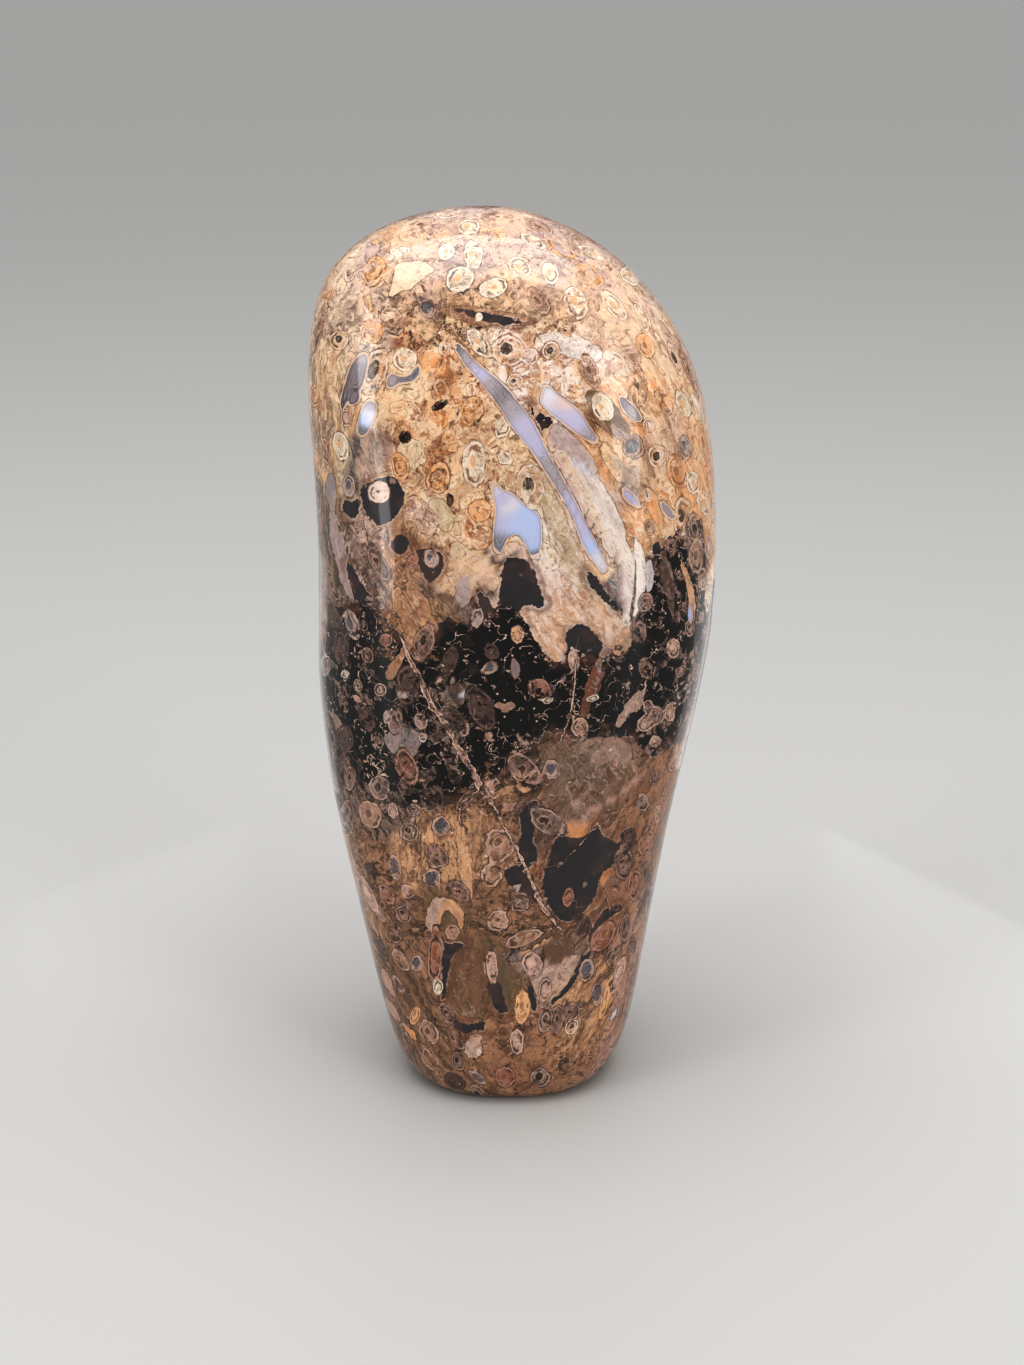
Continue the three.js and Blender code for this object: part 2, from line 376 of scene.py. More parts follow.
# %% Ground
LONG_WAVE, SHORT_WAVE, DRIFT = 2.3 * MM, 1.1 * MM, 1.1 * MM  # of the wandering borders
FALL_OFF = 2.5  # how fast a kind of ground gives way at the end of its reach
FAR_WEIGHT = 1e-6  # what is left of it far away, so that the nearest kind still wins there
GROUND_WIDTH = 16  # three colours of four numbers, how crumbly it is, and three ways of the grain
NO_GRAIN, UPRIGHT, LEANS_LEFT, LEANS_RIGHT = (0, 0, 0), (1, 0, 0), (0, 1, 0), (0, 0, 1)
GROUND = {
    # name: (colour, gaps, chips, how crumbly, grain, places on the front, places further round)
    "pale crown": ("blush", "fawn", "peach", 1.0, NO_GRAIN, [(430, 228, 6), (500, 222, 6), (520, 284, 5),
        (585, 298, 5), (610, 330, 7)], [(150, 138, 12), (40, 140, 8), (260, 136, 9)]),
    "mauve crown": ("heather", "rosewood", "blush", 1.0, NO_GRAIN, [(480, 252, 6), (415, 288, 4),
        (556, 268, 6), (455, 212, 6), (590, 270, 5), (540, 235, 5), (375, 262, 4)], [(180, 136, 9),
        (95, 138, 9)]),
    "stained crown": ("honey", "brown", "cream", 0.9, NO_GRAIN, [(386, 268, 3), (398, 240, 3), (545, 318, 3)],
        [(215, 128, 9)]),
    "left shoulder": ("blush", "brown", "cream", 0.9, NO_GRAIN, [(345, 285, 5), (362, 308, 5), (350, 318, 4)],
        [(290, 134, 7)]),
    "under the crown": ("sienna", "umber", "peach", 1.0, NO_GRAIN, [(402, 304, 4), (428, 306, 5),
        (455, 320, 4), (500, 304, 4), (535, 310, 4), (562, 318, 3), (470, 365, 3)], [(165, 120, 9)]),
    "centre crumb": ("peach", "rust", "bone", 0.9, NO_GRAIN, [(530, 340, 6), (590, 345, 6), (520, 380, 5),
        (560, 380, 6)], [(110, 124, 10)]),
    "right shoulder": ("blush", "sienna", "cream", 0.9, LEANS_LEFT, [(630, 310, 6), (655, 345, 5),
        (672, 440, 4), (650, 458, 4)], [(72, 128, 10), (200, 108, 10)]),
    "right edge": ("honey", "sienna", "cream", 0.9, LEANS_LEFT, [(636, 392, 6), (690, 400, 5), (700, 460, 5),
        (680, 490, 5), (655, 520, 4), (618, 450, 4)], [(75, 104, 9), (125, 104, 11)]),
    "pale crumb": ("peach", "sienna", "cream", 0.9, NO_GRAIN, [(395, 402, 5), (412, 392, 4)],
        [(235, 122, 8)]),
    "pink pale crumb": ("peach", "rust", "blush", 0.9, NO_GRAIN, [(470, 560, 4), (455, 575, 4)], []),
    "honey crumb": ("honey", "rust", "cream", 1.0, NO_GRAIN, [(440, 360, 4), (425, 430, 5), (460, 410, 5),
        (478, 540, 4)], [(190, 122, 10), (215, 138, 9), (140, 116, 8)]),
    "rusty crumb": ("rust", "umber", "tan", 1.0, NO_GRAIN, [(455, 385, 2.5), (440, 445, 3), (405, 455, 3),
        (385, 640, 4), (408, 342, 2.5)], [(248, 100, 8), (130, 84, 8)]),
    "tan crumb": ("peach", "rust", "cream", 1.0, NO_GRAIN, [(500, 460, 5), (410, 490, 4), (500, 430, 4),
        (455, 520, 4), (480, 440, 4), (475, 480, 4)], [(170, 104, 9), (100, 90, 8)]),
    "upright tan": ("tan", "brown", "cream", 0.8, UPRIGHT, [(325, 350, 4), (332, 410, 4), (335, 450, 3)],
        [(285, 118, 9), (270, 126, 7)]),
    "upright olive": ("olive", "umber", "fawn", 0.8, UPRIGHT, [(316, 440, 3), (318, 490, 3)], [(255, 110, 9),
        (285, 96, 8)]),
    # Dark grey upright streaks at the left edge: partly the stone's colour, partly a painted reflection.
    "grey streaks and painted reflection": ("slate", "umber", "khaki", 0.9, UPRIGHT, [(345, 436, 2.5), (346, 458, 2.5),
        (347, 480, 2.5)], []),
    "scribbled veil": ("fawn", "umber", "blush", 0.9, NO_GRAIN, [(366, 545, 4), (356, 530, 3)], []),
    "mauve veil": ("fawn", "brown", "blush", 0.7, LEANS_LEFT, [(370, 450, 3), (382, 455, 3), (610, 520, 3)],
        []),
    "dark veil": ("umber", "black", "fawn", 0.8, LEANS_LEFT, [(345, 555, 3), (470, 600, 3), (432, 585, 2.5)],
        []),
    "pink crumb": ("blush", "rose", "bone", 0.9, LEANS_LEFT, [(550, 610, 5), (600, 640, 5), (570, 600, 4),
        (575, 575, 4), (585, 500, 4)], []),
    "khaki band": ("khaki", "sienna", "bone", 0.9, LEANS_LEFT, [(545, 490, 4), (560, 530, 4), (440, 508, 3)],
        [(160, 92, 8)]),
    "resin": ("amber", "umber", "tan", 0.7, LEANS_LEFT, [(415, 610, 4), (450, 596, 3), (430, 645, 4),
        (605, 430, 3), (640, 470, 3)], [(250, 44, 9), (110, 46, 9)]),
    "shredded glass": ("umber", "black", "fawn", 1.0, LEANS_LEFT, [(365, 600, 4), (345, 650, 6),
        (380, 790, 6), (430, 740, 5), (445, 690, 4)], [(175, 66, 10), (270, 66, 10)]),
    "streaked glass": ("brown", "black", "rose", 1.0, LEANS_LEFT, [(690, 560, 6), (665, 600, 5),
        (690, 660, 5), (670, 720, 6)], [(90, 72, 10)]),
    "clear glass": ("black", "black", "brown", 0.2, NO_GRAIN, [(480, 660, 5), (530, 664, 4), (520, 720, 6),
        (600, 690, 5), (540, 780, 4), (630, 650, 4), (365, 735, 3)], [(130, 68, 8), (215, 68, 9)]),
    "dark crumb": ("amber", "umber", "ochre", 1.0, NO_GRAIN, [(365, 855, 4), (385, 895, 5), (400, 925, 4),
        (480, 895, 4), (520, 905, 4), (410, 945, 4), (500, 800, 4), (560, 925, 3)], [(220, 52, 10),
        (205, 34, 9), (240, 12, 9), (165, 28, 8)]),
    "orange crumb": ("sienna", "brown", "tan", 1.0, UPRIGHT, [(432, 848, 4), (410, 560, 4), (405, 605, 4),
        (410, 868, 4), (480, 845, 4), (505, 870, 3), (462, 880, 4)], [(160, 46, 8), (290, 36, 7)]),
    "clouded resin": ("amber", "umber", "fawn", 0.9, LEANS_RIGHT, [(570, 760, 6), (590, 790, 6),
        (545, 800, 4), (560, 950, 4)], [(125, 40, 10)]),
    "pale resin": ("sienna", "umber", "ochre", 0.9, LEANS_RIGHT, [(640, 800, 6), (640, 850, 5), (625, 890, 4),
        (600, 845, 3), (660, 780, 5)], [(85, 44, 8), (180, 44, 8)]),
    "resin at the left foot": ("amber", "umber", "ochre", 0.7, LEANS_LEFT, [(400, 985, 5), (430, 1010, 5),
        (450, 1035, 4), (425, 960, 4)], [(262, 26, 9)]),
    "dark amber": ("olive", "umber", "sienna", 0.5, UPRIGHT, [(470, 985, 4), (460, 965, 3), (500, 1000, 3),
        (368, 902, 4), (450, 902, 3)], [(190, 14, 9)]),
    "rosy foot": ("amber", "umber", "ochre", 0.8, LEANS_LEFT, [(388, 975, 3), (398, 1025, 4), (430, 1062, 5),
        (470, 1080, 5)], [(290, 12, 8), (140, 12, 9)]),
    "resin at the right foot": ("sienna", "umber", "tan", 0.8, LEANS_RIGHT, [(600, 985, 4), (590, 1015, 4),
        (580, 930, 3), (575, 1045, 4)], [(100, 18, 8)]),
    "rosy right": ("sienna", "umber", "rose", 0.8, LEANS_RIGHT, [(640, 930, 4), (635, 975, 4), (620, 1030, 5),
        (650, 900, 4), (600, 1065, 5)], [(70, 20, 8)]),
    "crumb at the foot": ("sienna", "umber", "ochre", 1.0, NO_GRAIN, [(500, 1050, 5), (540, 1040, 4),
        (520, 1075, 5), (560, 1078, 5)], [(215, 14, 8)]),
}


def adrift(spots):
    """Places pushed about by slow waves, so that borders between them wander."""
    waves = np.sin(spots[:, [1, 2, 0]] / LONG_WAVE) + 0.6 * np.sin(spots[:, [2, 0, 1]] / SHORT_WAVE)
    return spots + DRIFT * waves


def lay_ground():
    """Blends the kinds of ground over the skin. Returns three colours, how crumbly it is, and its grain."""
    mixed, total = np.zeros((len(places), GROUND_WIDTH)), np.zeros(len(places))
    drifted = adrift(places)
    for colour, gaps, chips, crumbly, grain, on_front, behind in GROUND.values():
        nature = np.array([*paint(colour), *paint(gaps), *paint(chips), crumbly, *grain])
        spots = [(on_stone(spot[:2])[0], spot[2]) for spot in on_front]
        spots += [(round_the_back(*spot[:2])[0], spot[2]) for spot in behind]
        for centre, reach in spots:
            away = np.linalg.norm(drifted - centre, axis=1) / (reach * MM)
            weight = np.exp(-FALL_OFF * away ** 2) + FAR_WEIGHT / (1 + away ** 4)
            mixed += weight[:, None] * nature
            total += weight
    return mixed / total[:, None]


ground = lay_ground()
print(len(GROUND), "kinds of ground")

# %% [markdown]
# Most marks are areas with an edge: windows of banded agate, pockets of black glass and bodies of pale
# stone. They are drawn on two flat sheets. The front sheet is the photograph, in pixels. The other is
# wrapped round the sides and the back, in millimetres, with the turn from the front along it and the height
# up it.
#
# An area is either an outline with a smooth curve through a few points, or a blade, which is a curved spine
# with a half width in millimetres at each of its points. For every point of the skin the script works out
# how far it lies outside the nearest edge of its kind, and less than zero inside. The nodes turn that
# distance into a crisp edge, and into the rims and bands that follow it.
#
# The photograph shows only the front. The sides and the back get the same kinds of areas: each is an area
# of the front carried round, with the turn and height of its middle, its size against the front's, and its
# lean.

# %% Sheets to draw on
FAR = 5.0  # millimetres, past which an area has no say
FRONT_FACING, BACK_FACING = 0.02, 0.1  # cosines at which the front sheet ends and the wrapped one begins
CURVE_STEPS = 6
TINY = 1e-9  # keeps a division from failing
MM_PER_DEGREE = 0.5  # along the sheet round the back
PIXELS_PER_MM = 6.0  # of the front sheet, near enough for carrying its areas round


class Sheet:
    """A flat sheet round the skin: where each point lies on it, its scale, and which points it shows."""

    def __init__(self, where, per_mm, shows):
        self.where, self.per_mm, self.shows = where, per_mm, shows

    def near(self, line):
        """The points of the skin that lie close to a line on the sheet."""
        margin = FAR * self.per_mm.max()
        low, high = line[:, :2].min(axis=0) - margin, line[:, :2].max(axis=0) + margin
        return np.nonzero(((self.where > low) & (self.where < high)).all(axis=1) & self.shows)[0]

    def outline(self, points):
        """Millimetres outside a closed outline for the points near it, and which those are."""
        outline = curve_through(points, closed=True)
        index = self.near(outline)
        away = distance_to(np.vstack([outline, outline[:1]]), self.where[index])
        away[is_inside(outline, self.where[index])] *= -1
        return away / self.per_mm[index], index

    def thread(self, points):
        """Millimetres to one side of a thin line or the other, and its half width, for the points near it."""
        line = curve_through(points, closed=False)
        index = self.near(line)
        spots, starts, runs = self.where[index][:, None], line[:-1, :2], np.diff(line[:, :2], axis=0)
        share = np.clip(((spots - starts) * runs).sum(axis=2) / (runs ** 2).sum(axis=1), 0, 1)
        off = spots - starts - share[:, :, None] * runs
        nearest = np.linalg.norm(off, axis=2).argmin(axis=1)
        off, run = off[np.arange(len(index)), nearest], runs[nearest]
        side = np.sign(run[:, 0] * off[:, 1] - run[:, 1] * off[:, 0]) * np.linalg.norm(off, axis=1)
        return side / self.per_mm[index], line[nearest, 2], index

    def blade(self, points):
        """Millimetres outside a blade for the points near it, and which those are."""
        line = curve_through(points, closed=False)
        index = self.near(line)
        away = distance_to(line, self.where[index], line[:, 2] * self.per_mm[index].mean())
        return away / self.per_mm[index], index


def curve_through(points, closed):
    """A smooth curve through rows of numbers, as finer rows."""
    rows = np.array(points, float)
    before = rows[-1:] if closed else 2 * rows[:1] - rows[1:2]
    after = rows[:2] if closed else 2 * rows[-1:] - rows[-2:-1]
    line = np.vstack([before, rows, after])
    share = np.linspace(0, 1, CURVE_STEPS, endpoint=False)[:, None]
    pieces = []
    for a, b, c, d in zip(line, line[1:], line[2:], line[3:]):
        bend = 2 * a - 5 * b + 4 * c - d + share * (3 * (b - c) + d - a)
        pieces.append(b + share / 2 * (c - a + share * bend))
    return np.vstack(pieces + ([] if closed else [rows[-1:]]))


def distance_to(line, spots, width=None):
    """How far each spot is from a line, less the line's half width there if it has one."""
    nearest = np.full(len(spots), np.inf)
    for i, (start, end) in enumerate(zip(line[:-1, :2], line[1:, :2])):
        run = end - start
        share = np.clip((spots - start) @ run / max(run @ run, TINY), 0, 1)
        away = np.linalg.norm(spots - start - share[:, None] * run, axis=1)
        if width is not None:
            away -= width[i] + share * (width[i + 1] - width[i])
        nearest = np.minimum(nearest, away)
    return nearest


def is_inside(outline, spots):
    """Which spots a closed outline goes round."""
    odd = np.zeros(len(spots), bool)
    for (x1, y1), (x2, y2) in zip(outline, np.roll(outline, -1, axis=0)):
        crosses = (y1 > spots[:, 1]) != (y2 > spots[:, 1])
        edge = x1 + (spots[:, 1] - y1) * (x2 - x1) / (y2 - y1 if y2 != y1 else TINY)
        odd ^= crosses & (spots[:, 0] < edge)
    return odd


class Layer:
    """One kind of area over the skin: how far outside its nearest edge each point lies, and its nature."""

    def __init__(self, width):
        self.outside = np.full(len(places), FAR)
        self.nature = np.zeros((len(places), width))

    def lay(self, area, nature, over=True):
        """Adds an area. It goes over the earlier ones, or only shares the skin with them."""
        depth, index = area
        nearer = (depth < self.outside[index]) | (over & (depth < 0))
        self.outside[index[nearer]] = depth[nearer]
        self.nature[index[nearer]] = np.broadcast_to(nature, (len(index), self.nature.shape[1]))[nearer]


turns = np.degrees(np.arctan2(places[:, 0], -places[:, 1])) % 360
heights = places[:, 2] / MM
front = Sheet(seen, pixels_per_mm, facing > FRONT_FACING)
wrap = Sheet(np.stack([turns * MM_PER_DEGREE, heights], axis=1), np.ones(len(places)), facing < BACK_FACING)
print("the sheet round the back shows", int(wrap.shows.sum()), "points")


def carried(points, turn, height, size=1, lean=0):
    """An area of the front sheet carried round to the wrapped one, resized and turned about its middle."""
    rows = np.array(points, float)
    away = (rows[:, :2] - rows[:, :2].mean(axis=0)) * size / PIXELS_PER_MM
    cosine, sine = math.cos(math.radians(lean)), math.sin(math.radians(lean))
    across = turn * MM_PER_DEGREE + away[:, 0] * cosine - away[:, 1] * sine
    up = height - away[:, 0] * sine - away[:, 1] * cosine
    return np.column_stack([across, up, rows[:, 2:] * size])


# %% [markdown]
# Agate filled the last hollows of the mat, in bands of lilac, grey and blue that follow the walls. A
# window's colour changes along it, so it is given as a few tints, each at a place, and every point of the
# window takes most from the nearest.

# %% Agate windows
AGATE_OUTLINES = {
    # name: (outline, tints)
    "long sickle": ([(452, 341), (462, 347), (480, 366), (500, 382), (516, 400), (534, 425), (546, 450),
        (560, 474), (572, 496), (583, 518), (594, 540), (604, 560), (607, 569), (602, 572), (592, 559),
        (581, 539), (573, 517), (562, 497), (544, 469), (532, 451), (518, 434), (506, 417), (496, 402),
        (478, 379), (463, 362)], [("slate", 456, 346), ("mauve", 466, 357), ("lilac", 482, 372),
        ("mauve", 492, 386), ("plum", 501, 393), ("mauve", 512, 408), ("lilac", 524, 426),
        ("lilac", 535, 444), ("mauve", 549, 468), ("mauve", 558, 484), ("lilac", 570, 506),
        ("lilac", 583, 530), ("sky", 592, 545), ("mist", 600, 560)]),
    "upper lens": ([(547, 385), (556, 393), (568, 402), (579, 412), (589, 426), (598, 441), (588, 440),
        (574, 431), (560, 420), (548, 411), (541, 402), (543, 394)], [("mist", 548, 394), ("blush", 566, 404),
        ("lilac", 562, 414), ("lilac", 574, 420), ("mauve", 592, 436)]),
    "star": ([(492, 476), (499, 488), (513, 495), (526, 507), (538, 515), (541, 530), (540, 547), (536, 560),
        (530, 553), (524, 541), (517, 534), (509, 536), (504, 545), (499, 554), (494, 548), (494, 530),
        (496, 512), (494, 496), (490, 484)], [("mist", 494, 482), ("lilac", 503, 500), ("mist", 510, 506),
        ("sky", 520, 515), ("lilac", 500, 522), ("sky", 530, 530), ("sky", 534, 545), ("slate", 536, 556),
        ("slate", 500, 542), ("sky", 512, 526)]),
    "dark strip at the upper left": ([(351, 366), (358, 357), (365, 354), (368, 361), (365, 376), (361, 388),
        (353, 390), (347, 401), (342, 410), (341, 399), (346, 381)], [("mauve", 362, 358), ("plum", 358, 370),
        ("brown", 350, 384), ("umber", 344, 400)]),
    "dark window below it": ([(350, 391), (358, 389), (359, 400), (354, 404), (349, 404)],
        [("plum", 354, 398)]),
    "left lens": ([(369, 401), (375, 403), (376, 412), (372, 424), (366, 433), (360, 435), (358, 428),
        (360, 415), (364, 406)], [("mauve", 373, 404), ("sky", 364, 420), ("mist", 370, 416),
        ("slate", 362, 431)]),
    "slate crescent": ([(391, 374), (400, 377), (410, 375), (418, 365), (419, 374), (412, 381), (400, 383),
        (389, 388), (387, 381)], [("mauve", 392, 380), ("plum", 404, 380), ("slate", 414, 374)]),
    "lens right of the khaki": ([(620, 396), (628, 401), (637, 410), (642, 421), (636, 421), (627, 414),
        (621, 405)], [("plum", 624, 402), ("mauve", 634, 414)]),
    "sliver in the glass": ([(512, 660), (516, 662), (519, 672), (518, 681), (514, 674)],
        [("slate", 516, 668)]),
    "sliver at the right": ([(690, 604), (692, 612), (691, 624), (688, 616)], [("sky", 690, 612)]),
    "mauve splinter": ([(661, 501), (668, 507), (676, 518), (672, 519), (664, 512)], [("mauve", 668, 510)]),
    "lilac patch": ([(623, 487), (630, 492), (637, 500), (640, 508), (632, 504), (625, 497)],
        [("lilac", 630, 496)]),
}
AGATE_BEHIND = [
    ("long sickle", 124, 110, 0.85, 10), ("star", 164, 98, 1.1, 150), ("upper lens", 198, 120, 1.2, -20),
    ("left lens", 94, 104, 1.3), ("long sickle", 230, 104, 0.65, -15), ("slate crescent", 252, 122, 1.2, 30),
    ("dark strip at the upper left", 150, 124, 1.1), ("lilac patch", 214, 90, 1.4),
    ("left lens", 78, 86, 1, 10), ("sliver in the glass", 140, 64, 1.6, 20),
    ("sliver in the glass", 236, 66, 1.3, 160),
]


def tinted(spots, names, places_of_tints):
    """The colour at spots of a sheet, which take most from the nearest tint."""
    total, share = np.zeros((len(spots), 4)), TINY
    for name, place_of_tint in zip(names, places_of_tints):
        weight = 1 / (np.linalg.norm(spots - place_of_tint, axis=1) + 0.1) ** 3
        total += weight[:, None] * paint(name)
        share = share + weight
    return total / share[:, None]


agate = Layer(4)
for points, tints in AGATE_OUTLINES.values():
    away, index = front.outline(points)
    names, tint_places = [name for name, _, _ in tints], [spot for _, *spot in tints]
    agate.lay((away, index), tinted(front.where[index], names, tint_places))
for name, *there in AGATE_BEHIND:
    points, tints = AGATE_OUTLINES[name]
    moved = carried(points + [tuple(spot) for _, *spot in tints], *there)
    away, index = wrap.outline(moved[:len(points)])
    agate.lay((away, index), tinted(wrap.where[index], [name for name, _, _ in tints], moved[len(points):]))
print("agate covers", int((agate.outside < 0).sum()), "points of the skin")

# %% [markdown]
# A band of black glass runs through the middle of the stone, all the way round. Its upper and lower edges
# are heights that change with the turn. On the front they follow what the photograph shows, and behind they
# are guessed. Pockets of the same glass lie above and below it.

# %% Black glass
BAND_TOP_PIXELS = [
    (330, 612), (345, 603), (370, 602), (392, 628), (420, 648), (450, 617), (478, 622), (505, 600),
    (528, 618), (548, 655), (575, 650), (605, 655), (630, 640), (645, 590), (655, 555), (680, 530),
    (702, 520),
]
BAND_FOOT_PIXELS = [
    (342, 745), (345, 790), (370, 808), (400, 806), (430, 808), (455, 804), (475, 794), (500, 774),
    (530, 745), (548, 730), (575, 738), (603, 738), (625, 735), (650, 757), (678, 740), (690, 700),
]
BAND_TOP_BEHIND = [
    (70, 90), (82, 93), (90, 80), (104, 85), (116, 74), (130, 86), (142, 79), (156, 90), (166, 77), (180, 82),
    (194, 71), (208, 84), (222, 76), (236, 87), (250, 73), (264, 80), (280, 76),
]
BAND_FOOT_BEHIND = [
    (75, 62), (88, 55), (100, 60), (114, 50), (126, 63), (140, 57), (152, 66), (165, 53), (178, 60),
    (192, 49), (206, 62), (220, 55), (232, 64), (246, 50), (258, 58), (270, 51), (285, 55),
]
GLASS_OUTLINES = {
    "chamber below the star": [(504, 562), (514, 557), (525, 560), (534, 571), (538, 583), (542, 595),
        (547, 604), (541, 608), (530, 605), (521, 608), (514, 616), (506, 627), (501, 612), (500, 590)],
    "strip left of the chamber": [(478, 592), (486, 596), (492, 606), (499, 618), (500, 634), (494, 644),
        (487, 634), (483, 618), (479, 604)],
    "arch in the tongue": [(566, 634), (573, 627), (581, 624), (590, 629), (598, 638), (603, 646), (598, 656),
        (588, 658), (580, 652), (573, 648), (569, 652), (566, 644)],
    "pool round the white disc": [(362, 487), (370, 483), (380, 478), (391, 476), (400, 484), (405, 497),
        (400, 511), (391, 521), (380, 526), (370, 520), (364, 508), (361, 497)],
    "dark corner at the left": [(343, 500), (350, 502), (358, 498), (360, 506), (356, 518), (349, 517),
        (343, 510)],
    "strip behind the left blade": [(346, 562), (352, 566), (358, 578), (366, 590), (374, 600), (366, 604),
        (356, 600), (350, 586)],
    "crescent of the ringed root": [(424, 548), (434, 549), (442, 556), (443, 568), (438, 577), (431, 583),
        (424, 576), (418, 564), (414, 552)],
    "brown glass left of it": [(391, 546), (396, 536), (404, 535), (409, 543), (406, 552), (396, 554)],
    "curved pocket": [(650, 692), (647, 682), (652, 673), (663, 669), (672, 668), (676, 676), (668, 688),
        (660, 696)],
    "lower edge of the tongue": [(586, 570), (593, 574), (601, 584), (612, 598), (621, 612), (614, 610),
        (606, 603), (597, 593), (588, 582)],
    "right pocket": [(652, 545), (658, 542), (661, 549), (658, 556), (653, 553)],
    "wedge below the white line": [(520, 815), (528, 803), (537, 801), (536, 822), (532, 838), (538, 854),
        (532, 867), (522, 862), (518, 846), (521, 830)],
    "great lower pocket": [(556, 838), (570, 837), (584, 838), (593, 830), (597, 822), (603, 836), (613, 840),
        (621, 852), (612, 866), (601, 873), (599, 885), (594, 900), (583, 912), (568, 922), (556, 915),
        (548, 900), (543, 884), (545, 866), (550, 852)],
    "drop right of it": [(622, 832), (628, 827), (634, 832), (635, 842), (629, 849), (622, 846)],
    "slit above the pink root": [(588, 936), (594, 924), (603, 912), (613, 905), (622, 905), (622, 911),
        (611, 916), (602, 924), (594, 934), (589, 944)],
    "slit right of the pink mass": [(594, 951), (587, 962), (580, 972), (574, 984), (567, 993), (556, 1001),
        (548, 1012), (552, 1000), (563, 990), (571, 977), (579, 962), (587, 953)],
    "slit left of the pink mass": [(530, 982), (534, 992), (537, 1004), (537, 1013), (531, 1007), (528, 994)],
    "crescent near the foot": [(448, 1018), (458, 1022), (472, 1024), (484, 1022), (484, 1030), (474, 1030),
        (466, 1034), (456, 1029)],
    "dark stroke by the pale root": [(446, 946), (456, 943), (468, 943), (460, 949), (452, 958), (447, 976),
        (444, 962)],
    "line under the crown": [(450, 307), (474, 311), (498, 315), (526, 321), (508, 325), (484, 321),
        (462, 314)],
    "slit above the mauve lens": [(529, 403), (534, 410), (542, 415), (552, 419), (558, 421), (551, 425),
        (544, 431), (539, 423), (533, 414)],
    "hollow left of the crack": [(506, 866), (517, 866), (526, 875), (537, 890), (547, 910), (540, 906),
        (528, 896), (514, 888), (505, 880)],
    "flank of the log": [(444, 942), (448, 950), (447, 970), (446, 990), (442, 1000), (442, 975)],
    "dark root of the log": [(484, 962), (492, 980), (500, 985), (504, 1000), (508, 1014), (498, 1012),
        (490, 996)],
}
GLASS_BEHIND = [
    ("great lower pocket", 150, 40, 0.9), ("chamber below the star", 172, 89),
    ("arch in the tongue", 126, 88, 1.3), ("pool round the white disc", 212, 102, 0.9),
    ("slit above the pink root", 102, 32, 1.2), ("wedge below the white line", 234, 40, 1.2, 10),
    ("crescent near the foot", 190, 14, 1.4), ("hollow left of the crack", 252, 26, 1.2),
    ("lower edge of the tongue", 108, 98, 0.8), ("slit right of the pink mass", 168, 22, 1.2),
    ("drop right of it", 214, 36, 1.3, 20), ("line under the crown", 182, 131, 1.2),
    ("dark corner at the left", 244, 112), ("curved pocket", 90, 46),
]


def edge_heights(on_front, behind):
    """Heights of an edge of the band at the turn of each point of the skin, in millimetres."""
    hits = [on_stone(pixel)[0] for pixel in on_front]
    marks = [(math.degrees(math.atan2(x, -y)) % 360, z / MM) for x, y, z in hits]
    marks = np.array(sorted(marks + behind))
    marks = np.vstack([marks[-1:] - [360, 0], marks, marks[:1] + [360, 0]])
    return np.interp(turns, marks[:, 0], marks[:, 1])


in_band = np.maximum(heights - edge_heights(BAND_TOP_PIXELS, BAND_TOP_BEHIND),
                     edge_heights(BAND_FOOT_PIXELS, BAND_FOOT_BEHIND) - heights).clip(-FAR, FAR)
glass = Layer(0)
for points in GLASS_OUTLINES.values():
    glass.lay(front.outline(points), (), over=False)
for name, *there in GLASS_BEHIND:
    glass.lay(wrap.outline(carried(GLASS_OUTLINES[name], *there)), (), over=False)
black = (glass.outside < 0) | (in_band < 0)
print("black glass covers", round(100 * float(black.mean())), "percent of the skin")

# %% [markdown]
# Bodies of one colour stand out from the ground: pale tongues and blades of silica, khaki and olive
# patches, and brown resin. Each has a colour, and how much of the ground's crumb shows in it.

